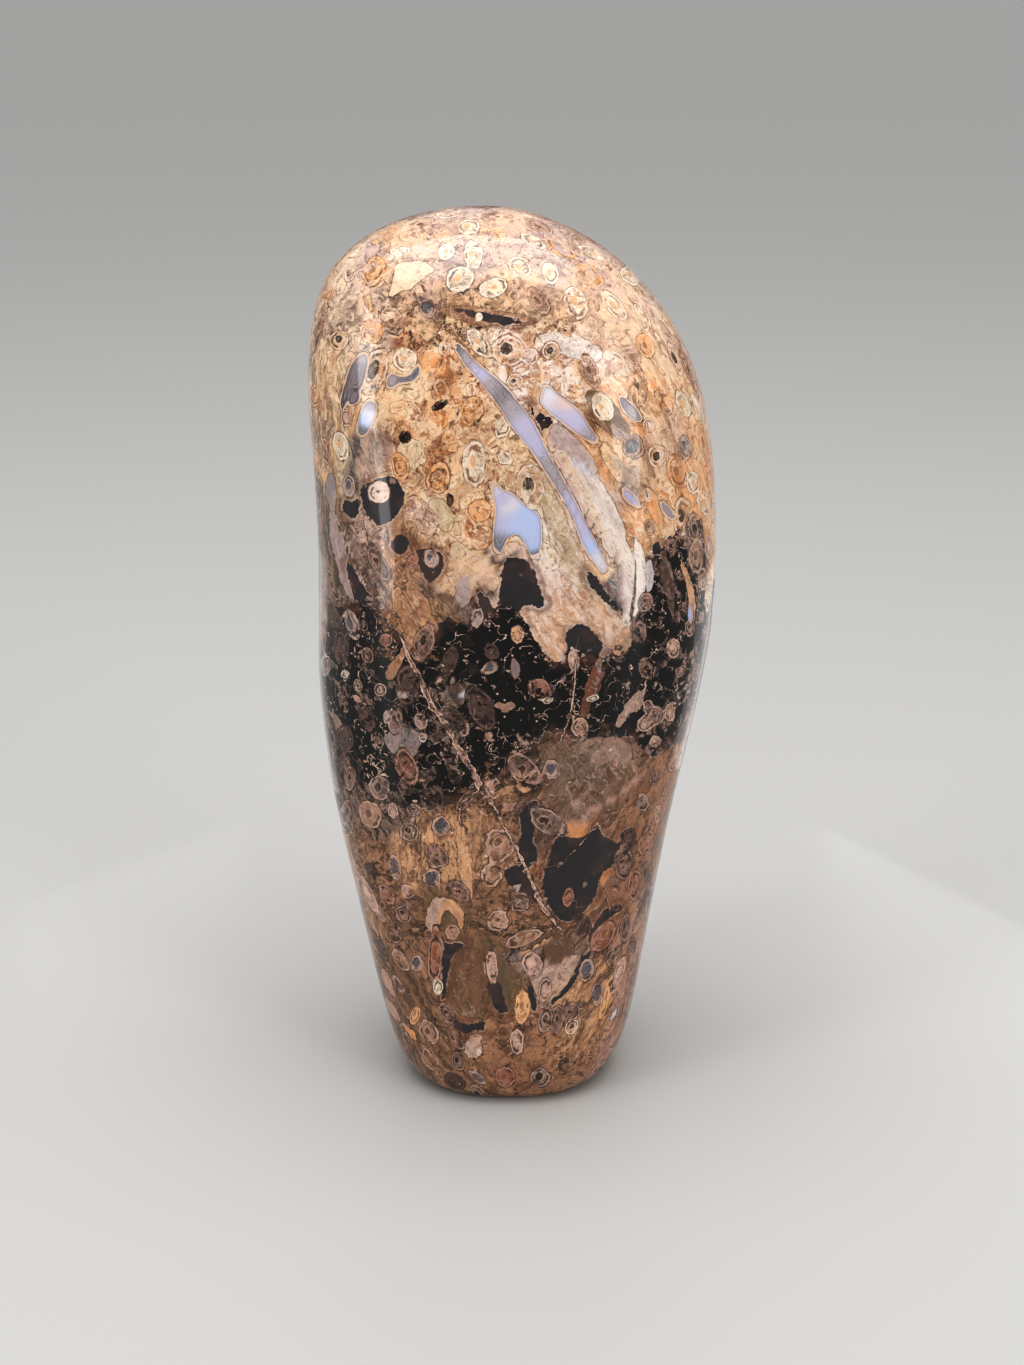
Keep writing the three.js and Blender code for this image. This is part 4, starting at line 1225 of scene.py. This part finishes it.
# %% Helpers for the material
polished_stone.use_nodes = True
bench = Bench(polished_stone.node_tree)
bench.tree.nodes.clear()
LEAN = math.radians(33)
STREAK_SCALE = (0.7, 0.7, 3.5)


def mark(name, output=2):
    """What is stored on the skin under a name: output 2 is its number and 0 its colour."""
    return bench.node("ShaderNodeAttribute", {"attribute_name": name}, output=output)


def noise(place, size, detail=4.0, rough=0.55, output=0):
    """Cloudy noise around a half, with features of about so many millimetres."""
    sockets = {"Vector": place, "Scale": 1 / size, "Detail": detail, "Roughness": rough}
    return bench.node("ShaderNodeTexNoise", sockets=sockets, output=output)


def stirred(place, size, depth):
    """The place pushed about by slow noise, so that what follows it flows and curls."""
    push = noise(place, size, 2.0, output=1)
    sockets = {0: push, 1: (2 * depth, 2 * depth, 2 * depth), 2: place}
    return bench.node("ShaderNodeVectorMath", {"operation": "MULTIPLY_ADD"}, sockets)


def streaked(place, lean):
    """The place squeezed along a leaning direction, so that noise is drawn out along it."""
    sockets = {"Vector": place, "Rotation": (0.0, lean, 0.0), "Scale": STREAK_SCALE}
    return bench.node("ShaderNodeMapping", {"vector_type": "TEXTURE"}, sockets)


def cells(place, size):
    """How far it is to the nearest of many points, one in each cube of a size, as a share of that size."""
    return bench.node("ShaderNodeTexVoronoi", sockets={"Vector": place, "Scale": 1 / size})


def specks(place, size, reach, share):
    """Small rounded specks, so wide as the reach, at a share of the points."""
    spots = cells(place, size)
    chance = bench.node("ShaderNodeSeparateColor", sockets={"Color": spots.output("Color")})
    return bench.rise(spots, reach, reach * 0.6) * bench.rise(chance, share + 0.02, share)


def contours(value, lines, low, high):
    """Thin lines where a slow field passes even steps, like the growth lines of a wall."""
    triangle = value.maths("PINGPONG", value * lines, 0.5)
    return bench.rise(triangle, high, low)


place = bench.node("ShaderNodeVectorMath", {"operation": "SCALE"}, {
    "Vector": bench.node("ShaderNodeTexCoord", output="Object"), "Scale": 1 / MM})
flowing = stirred(stirred(place, 5.0, 1.8), 1.1, 0.35)
swirling = stirred(place, 3.0, 1.9)
slanting = stirred(streaked(place, -LEAN), 2.0, 1.5)
wander = noise(place, 1.3, 5.0, 0.6) - 0.5
sway = noise(place, 4.0, 2.0) - 0.5
patchy = noise(place, 3.0, 2.0)
worn = bench.rise(noise(place, 1.6, 3.0), 0.36, 0.56)

# %% [markdown]
# The ground is a crumb of broken root walls and rootlets. The space is parted into cells, large and small,
# whose borders curl because the place is stirred first. Each cell draws a lot, which makes it a gap, a pale
# chip or plain ground. Some of the largest cells hold the rings of a root that has nearly rotted away. Fine
# clouds soften the whole, and the slope of the same clouds is painted on as light and shading, as if the
# crumb stood out. Where the stone has a grain, the crumb is drawn out into fibres along it. Curled pale
# lines are walls that were cut at a slant, each with a painted shadow beside it.

# %% Colour of the ground


def lots(where, size):
    """A number from 0 to 1 that is drawn for each cell, and how far it is to the middle of the cell."""
    found = cells(where, size)
    return bench.node("ShaderNodeSeparateColor", sockets={"Color": found.output("Color")}), found


crumbly = mark("crumbly")
grained = flowing
for name, lean in {"upright": 0.0, "leans left": -LEAN, "leans right": LEAN}.items():
    sockets = {"Factor_Float": bench.rise(mark(name) + wander * 0.8, 0.4, 0.41),
               "A_Vector": grained, "B_Vector": streaked(flowing, lean)}
    grained = bench.node("ShaderNodeMix", {"data_type": "VECTOR"}, sockets, output=1)
fine = noise(flowing, 0.8, 5.0, 0.75)
grain, middle = lots(grained, 1.9)
chip, _ = lots(grained, 0.75)
cloud = noise(grained, 1.6, 7.0, 0.68)
# Painted light and shading: the clouds a little way off, less the clouds here, lighten one side of each grain
# and darken the other.
nudged = bench.node("ShaderNodeVectorMath", {"operation": "ADD"}, {0: grained, 1: (0.16, 0.0, -0.22)})
painted_slope_shading = noise(nudged, 1.6, 7.0, 0.68) - cloud
walls = bench.stripe(middle, 0.3, 0.38, 0.03) * bench.rise(chip, 0.4, 0.6)
patch, from_middle = lots(grained, 3.4)
patch_crumb = patch.output("Green") * 0.6 + 0.4
ringed = bench.rise(patch.output("Blue"), 0.35, 0.38)
ring_walls = bench.stripe(from_middle, 0.27, 0.36, 0.03) * ringed
ring_lines = bench.stripe(from_middle, 0.37, 0.43, 0.02) + bench.stripe(from_middle, 0.21, 0.25, 0.02)
ring_lines = ring_lines * ringed
ring_hearts = bench.rise(from_middle, 0.13, 0.1) * bench.rise(patch.output("Blue"), 0.6, 0.63)
growth = noise(swirling, 3.2, 2.0) * 14.0
growth = growth.maths("PINGPONG", growth, 0.5)
in_curls = bench.rise(sway, -0.08, 0.04)
curls = bench.rise(growth, 0.14, 0.05) * in_curls
shadows = bench.stripe(growth, 0.17, 0.25, 0.03) * in_curls
pits = bench.rise(noise(flowing, 1.4, 4.0, 0.6), 0.62, 0.67)
stain = bench.rise(noise(swirling, 5.0, 4.0, 0.6), 0.48, 0.62)
veins = contours(noise(slanting, 4.5, 5.0, 0.6), 5.0, 0.0, 0.05) * bench.rise(patchy, 0.46, 0.58)
# Pale specks, partly white grains of the stone and partly painted glints of light in tiny pits.
pale_specks_and_painted_glints = specks(flowing, 1.0, 0.24, 0.28)


def crumbled(colour, gaps, chips, share):
    """A colour broken up into gaps and pale chips, by a share from 0 to 1."""
    halfway = bench.mix(0.5, colour, gaps)
    colour = bench.mix(bench.rise(patch, 0.3, 0.27) * share * 0.45, colour, gaps)
    colour = bench.mix(bench.rise(patch, 0.68, 0.71) * share * 0.5, colour, chips)
    share = share * patch_crumb
    mixed = bench.mix(stain * 0.35 * share, colour, bench.mix(0.6, colour, paint("rust")))
    mixed = bench.mix(bench.rise(grain, 0.34, 0.3) * share * 0.75, mixed, halfway)
    mixed = bench.mix(bench.rise(grain, 0.14, 0.1) * share * 0.8, mixed, gaps)
    mixed = bench.mix(bench.rise(grain, 0.68, 0.72) * share * 0.7, mixed, chips)
    mixed = bench.mix(bench.rise(chip, 0.22, 0.18) * share * 0.7, mixed, halfway)
    mixed = bench.mix(bench.rise(chip, 0.76, 0.8) * share * 0.75, mixed, chips)
    mixed = bench.mix(bench.rise(cloud, 0.45, 0.39) * share * 0.8, mixed, gaps)
    mixed = bench.mix(bench.rise(cloud, 0.56, 0.62) * share * 0.75, mixed, chips)
    mixed = bench.mix((walls + curls) * share * 0.6, mixed, chips)
    mixed = bench.mix((veins + shadows) * share * 0.5, mixed, gaps)
    mixed = bench.mix(ring_walls * worn * 0.6, mixed, chips)
    mixed = bench.mix((ring_lines * worn + ring_hearts) * 0.5, mixed, gaps)
    # Pale specks: partly white grains, partly painted glints.
    mixed = bench.mix(pale_specks_and_painted_glints * share * share, mixed, bench.mix(0.8, chips, paint("bone")))
    return bench.mix(pits * share * 0.8, mixed, bench.mix(0.6, gaps, paint("black")))


gaps, chips = mark("gaps", 0), mark("chips", 0)
colour = crumbled(mark("ground", 0), gaps, chips, crumbly)

# %% [markdown]
# Bodies have a wandering edge with a thin brown line along it, and soft clouds and a few pale streaks
# inside.

# %% Bodies over the ground
body_crumb = mark("body crumb")
body = mark("body") + (wander + sway) * (body_crumb * 1.4 + 0.15)
inside_body = bench.rise(body, 0.06, -0.06)
marbling = noise(slanting, 4.2, 4.0)
body_colour = mark("body colour", 0)
stained = bench.rise(marbling, 0.5, 0.62) * (body_crumb * 0.5 + 0.05)
body_colour = bench.mix(stained, body_colour, bench.mix(0.5, body_colour, paint("rust")))
paler = bench.mix(0.5, body_colour, chips)
body_colour = bench.mix(bench.rise(marbling, 0.48, 0.36) * 0.5, body_colour, paler)
body_colour = bench.mix(contours(marbling, 12.0, 0.03, 0.12) * 0.35, body_colour, paint("brown"))
streaks = contours(marbling + wander * 0.1, 7.0, 0.02, 0.16) * bench.rise(sway, -0.05, 0.05)
body_colour = bench.mix(streaks * (body_crumb * 0.5 + 0.2), body_colour, bench.mix(0.5, chips, paint("bone")))
body_gaps = bench.mix(0.5, body_colour, bench.mix(0.5, gaps, paint("umber")))
body_colour = crumbled(body_colour, body_gaps, bench.mix(0.6, body_colour, chips), body_crumb)
colour = bench.mix(inside_body, colour, body_colour)
colour = bench.mix(bench.stripe(body, -0.02, 0.14, 0.06) * 0.6, colour, bench.mix(0.5, gaps, paint("umber")))

# %% [markdown]
# Black glass is nearly black, with brown light coming through it in places and shreds of root in it. The
# band leaves the bodies free, and the pockets cut into them. A thin pale rim and a rusty halo go round the
# glass, where the walls of the hollow were stained.

# %% Black glass over both
band = mark("band")
in_the_band = bench.rise(band, 1.0, -1.5)
shreds = noise(stirred(swirling, 0.9, 0.4), 2.8, 6.0, 0.64) + crumbly * 0.08
shreds = bench.rise(shreds, 0.61, 0.65) * in_the_band
pocket = mark("glass") + wander + (fine - 0.5) * 0.9
pane = band + wander * 4.0 + sway * 3.0
inside_band = bench.rise(pane, 0.05, -0.05) * (1 - shreds) * (1 - inside_body)
inside_glass = inside_band.maths("MAXIMUM", inside_band, bench.rise(pocket, 0.05, -0.05))
pane = pane.maths("MINIMUM", pane, pocket)
glow = bench.rise(noise(flowing, 3.5, 2.0), 0.46, 0.62) * bench.rise(pane, -3.0, 0.0)
threads = contours(noise(swirling, 5.0, 3.0), 6.0, 0.01, 0.05) * in_the_band * worn
glass_colour = bench.mix(glow * 0.85, paint("black"), bench.mix(0.35, paint("umber"), paint("rust")))
shards = specks(stirred(place, 1.6, 1.0), 2.2, 0.26, 0.16)
smoky = bench.mix(0.35, paint("umber"), paint("slate"))
glass_colour = bench.mix((1 - in_the_band) * 0.6, glass_colour, smoky)
glass_colour = bench.mix(shards * 0.7, glass_colour, bench.mix(fine, paint("umber"), paint("blush")))
glass_colour = bench.mix(specks(place, 1.2, 0.18, 0.3) * in_the_band * 0.85, glass_colour, paint("blush"))
glass_colour = bench.mix(threads * bench.rise(patchy, 0.4, 0.46) * 0.9, glass_colour, paint("blush"))
rim = bench.stripe(pane, 0.0, 0.14, 0.06) * bench.rise(patchy, 0.45, 0.6)
halo = bench.stripe(pane, 0.1, 1.0, 0.4) * bench.rise(sway, -0.1, 0.1)
colour = bench.mix(halo * 0.6, colour, bench.mix(0.5, paint("rust"), paint("umber")))
colour = bench.mix(rim * 0.7, colour, paint("blush"))
colour = bench.mix(shreds * bench.rise(pane, 0.0, -0.6) * 0.25, colour, paint("umber"))
colour = bench.mix(inside_glass, colour, glass_colour)

# %% [markdown]
# A root end has a dark outline, a pale wall, a brown line inside the wall, flesh, and a heart with a pale
# ring. Some ends are whole, and of others parts are lost in the crumb.

# %% Root ends over these
shown = mark("root shown")
end = mark("root") + wander * 0.4 + sway * 0.6
centre = mark("root centre") + wander * 0.5
hollow = bench.rise(noise(place, 2.4, 1.0), 0.5, 0.56)
flesh = mark("root flesh", 0)
wall_colour = bench.mix(0.25, mark("root wall", 0), flesh)
dark_line = bench.mix(0.25, gaps, paint("umber"))
flesh = bench.mix(bench.rise(band, 0.0, -1.0) * 0.4, flesh, paint("umber"))
flesh = crumbled(flesh, bench.mix(0.7, flesh, paint("brown")), bench.mix(0.7, flesh, wall_colour), 1.0)
flesh = bench.mix(contours(end + wander * 0.2, 6.0, 0.1, 0.3) * worn * 0.4, flesh, wall_colour)
flesh = bench.mix(bench.stripe(centre, 1.05, 1.3, 0.08) * 0.7 * worn, flesh, wall_colour)
flesh = bench.mix(bench.rise(centre, 1.06, 0.94) * 0.9, flesh, mark("root heart", 0))
flesh = bench.mix(bench.stripe(end, 0.6, 0.76, 0.04) * hollow * 0.85, flesh, dark_line)
flesh = bench.mix(bench.stripe(end, 0.8, 0.92, 0.04) * worn * 0.9, flesh, wall_colour)
outline = bench.rise(end, 0.92, 0.96) * (worn * 0.6 + 0.35)
flesh = bench.mix(outline, flesh, dark_line)
unburied = bench.rise(noise(flowing, 1.2, 3.0) + shown * 0.4, 0.6, 0.66)
colour = bench.mix(bench.rise(end, 1.05, 1.0) * unburied, colour, flesh)

# %% [markdown]
# Looked at closely, nothing in the mat is of one even colour. A fine grit of dark gaps and pale grains goes
# over all of it, but not over the glass, with painted light and shading from the slope of the clouds.

# %% Grit over the mat
gritty = (1 - inside_glass * bench.rise(mark("root"), 0.95, 1.05)) * (crumbly * 0.6 + 0.4) * patch_crumb
gritty = gritty * (1 - inside_body * (1 - body_crumb) * 0.8)
# Dark grit with painted shading on one side of each grain, and pale grit with a painted highlight on the
# other.
grit_and_painted_shading = bench.rise(fine, 0.44, 0.36) * 0.7 + bench.rise(painted_slope_shading, 0.03, 0.11) * 0.6
grit_and_painted_highlight = bench.rise(fine, 0.56, 0.64) * 0.65 + bench.rise(painted_slope_shading, -0.02, -0.1) * 0.55
colour = bench.mix(grit_and_painted_shading * gritty, colour, bench.mix(0.8, colour, dark_line, blend="MULTIPLY"))
colour = bench.mix(grit_and_painted_highlight * gritty, colour, bench.mix(0.7, colour, chips))

# %% [markdown]
# Agate is clear near its wall and cloudy within, in broad bands that follow the wall and finer ones deep
# inside. It has a cream rim with a brown line round it. Over it all run the healed cracks, thin broken
# veins with a pale wall on each side.

# %% Agate windows over everything
window = mark("agate") + wander * 0.3
inside_agate = bench.rise(window, 0.04, -0.04)
bands = contours(window + sway * 0.8, 2.2, 0.1, 0.45)
fine_bands = contours(window + sway * 0.4, 5.0, 0.05, 0.3) * bench.rise(window, -1.6, -0.4)
silica = mark("agate colour", 0)
cloudy = bench.mix(0.4, silica, paint("mist"))
silica = bench.mix(bench.rise(window, -0.1, -1.2) * 0.5, silica, cloudy)
silica = bench.mix(bands * 0.4, silica, cloudy)
silica = bench.mix(fine_bands * 0.3, silica, paint("mist"))
silica = bench.mix(bench.rise(window, -0.4, 0.0) * 0.5, silica, bench.mix(0.5, silica, paint("slate")))
rim = wander * 0.6 + sway * 0.8 + 0.2
colour = bench.mix(bench.stripe(window - rim, 0.0, 0.14, 0.06) * worn * 0.8, colour, paint("umber"))
colour = bench.mix(bench.rise(window - rim, 0.04, -0.04) * 0.9, colour, bench.mix(0.5, chips, paint("rose")))
colour = bench.mix(inside_agate, colour, silica)

# %% Healed cracks
crack = abs(mark("crack") + wander * 0.9) - mark("crack width") * (worn * 0.6 + 0.4)
filling = bench.mix(bench.rise(fine, 0.42, 0.58), paint("brown"), paint("rose"))
colour = bench.mix(bench.stripe(crack, 0.0, 0.25, 0.06) * 0.6, colour, paint("umber"))
colour = bench.mix(bench.rise(crack, 0.03, -0.03) * (worn * 0.6 + 0.2), colour, filling)
broken = bench.rise(patchy + fine, 0.9, 1.05)
colour = bench.mix(bench.stripe(crack, -0.14, 0.0, 0.03) * broken, colour, paint("blush"))

# %% [markdown]
# Everything has the same wet polish. Crumbly ground takes it a little less well than glass and agate, and
# its pits break up the reflections.

# %% Polish
unglazed = crumbly * (1 - inside_glass) * (1 - inside_agate)
roughness = unglazed * (pits * 0.2 + 0.06) + 0.1
height = (fine + cloud - pits) * unglazed
bump = bench.node("ShaderNodeBump", sockets={"Strength": 0.5, "Distance": 0.0004, "Height": height})
surface = bench.node("ShaderNodeBsdfPrincipled", sockets={
    "Base Color": colour, "Roughness": roughness + 0.25, "IOR": 1.54, "Specular IOR Level": 0.0,
    "Normal": bump, "Coat Weight": 1.0, "Coat Roughness": 0.07, "Coat IOR": 1.5})
ending = bench.tree.nodes.new("ShaderNodeOutputMaterial")
bench.tree.links.new(surface.socket, ending.inputs["Surface"])
print(len(bench.tree.nodes), "nodes in the material")

# %% [markdown]
# The stone stands on a plain pale floor that reaches past the frame, in soft studio light: a wide softbox
# overhead, a tall one on each side, and a grey surround. Four small lamps show only as reflections. A glint
# at either side of the camera gives the narrow highlights on the polish, and a low sheen behind either side
# of the stone gives its pale edges.

# %% Floor and light
FLOOR_SIZE = 24.0
LAMPS_AIM_AT = Vector((0, 0, 0.08))
LIGHTS = {
    # name: (place in metres, width and height in metres, watts, whether it only shows in reflections)
    "overhead": ((0.0, -0.05, 0.75), (0.7, 0.45), 2.2, False),
    "left strip": ((-0.76, -0.48, 0.34), (0.24, 0.6), 1.6, False),
    "right strip": ((0.62, -0.65, 0.34), (0.26, 0.6), 1.6, False),
    "left glint": ((-0.215, -0.17, 0.046), (0.04, 0.09), 0.026, True),
    "right glint": ((0.205, -0.178, 0.055), (0.03, 0.11), 0.016, True),
    "left sheen": ((-0.09, 0.09, 0.03), (0.06, 0.06), 0.003, True),
    "right sheen": ((0.105, 0.07, 0.03), (0.09, 0.06), 0.009, True),
}

floor_mesh = bpy.data.meshes.new("floor")
half = FLOOR_SIZE / 2
corners = [(-half, -half, 0), (half, -half, 0), (half, half, 0), (-half, half, 0)]
floor_mesh.from_pydata(corners, [], [(0, 1, 2, 3)])
floor = bpy.data.objects.new("floor", floor_mesh)
bpy.context.scene.collection.objects.link(floor)
pale = bpy.data.materials.new("pale floor")
pale.use_nodes = True
pale.node_tree.nodes["Principled BSDF"].inputs["Base Color"].default_value = (0.52, 0.515, 0.505, 1.0)
pale.node_tree.nodes["Principled BSDF"].inputs["Roughness"].default_value = 0.45
floor_mesh.materials.append(pale)

for name, (spot, (width, height), watts, only_mirrored) in LIGHTS.items():
    light = bpy.data.lights.new(name, "AREA")
    light.shape, light.size, light.size_y, light.energy = "RECTANGLE", width, height, watts
    lamp = bpy.data.objects.new(name, light)
    lamp.location = spot
    lamp.rotation_euler = (LAMPS_AIM_AT - Vector(spot)).to_track_quat("-Z", "Y").to_euler()
    lamp.visible_camera = False
    lamp.visible_diffuse = not only_mirrored
    bpy.context.scene.collection.objects.link(lamp)

surround = bpy.data.worlds.new("grey surround")
surround.use_nodes = True
bpy.context.scene.world = surround
sky = Bench(surround.node_tree)
direction = sky.node("ShaderNodeTexCoord", output="Generated")
up = sky.node("ShaderNodeSeparateXYZ", sockets={"Vector": direction}, output=2)
grey = sky.mix(sky.rise(up, -0.1, 0.9), (0.16, 0.16, 0.16, 1.0), (1.0, 1.0, 1.0, 1.0))
sky.tree.links.new(grey.socket, sky.tree.nodes["Background"].inputs["Color"])
surround.node_tree.nodes["Background"].inputs["Strength"].default_value = 0.7
bpy.context.scene.view_settings.view_transform = "Standard"
bpy.context.scene.view_settings.look = "High Contrast"
print(len(LIGHTS), "lights")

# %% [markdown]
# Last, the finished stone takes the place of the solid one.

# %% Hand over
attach(stone, "root")
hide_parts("stone")
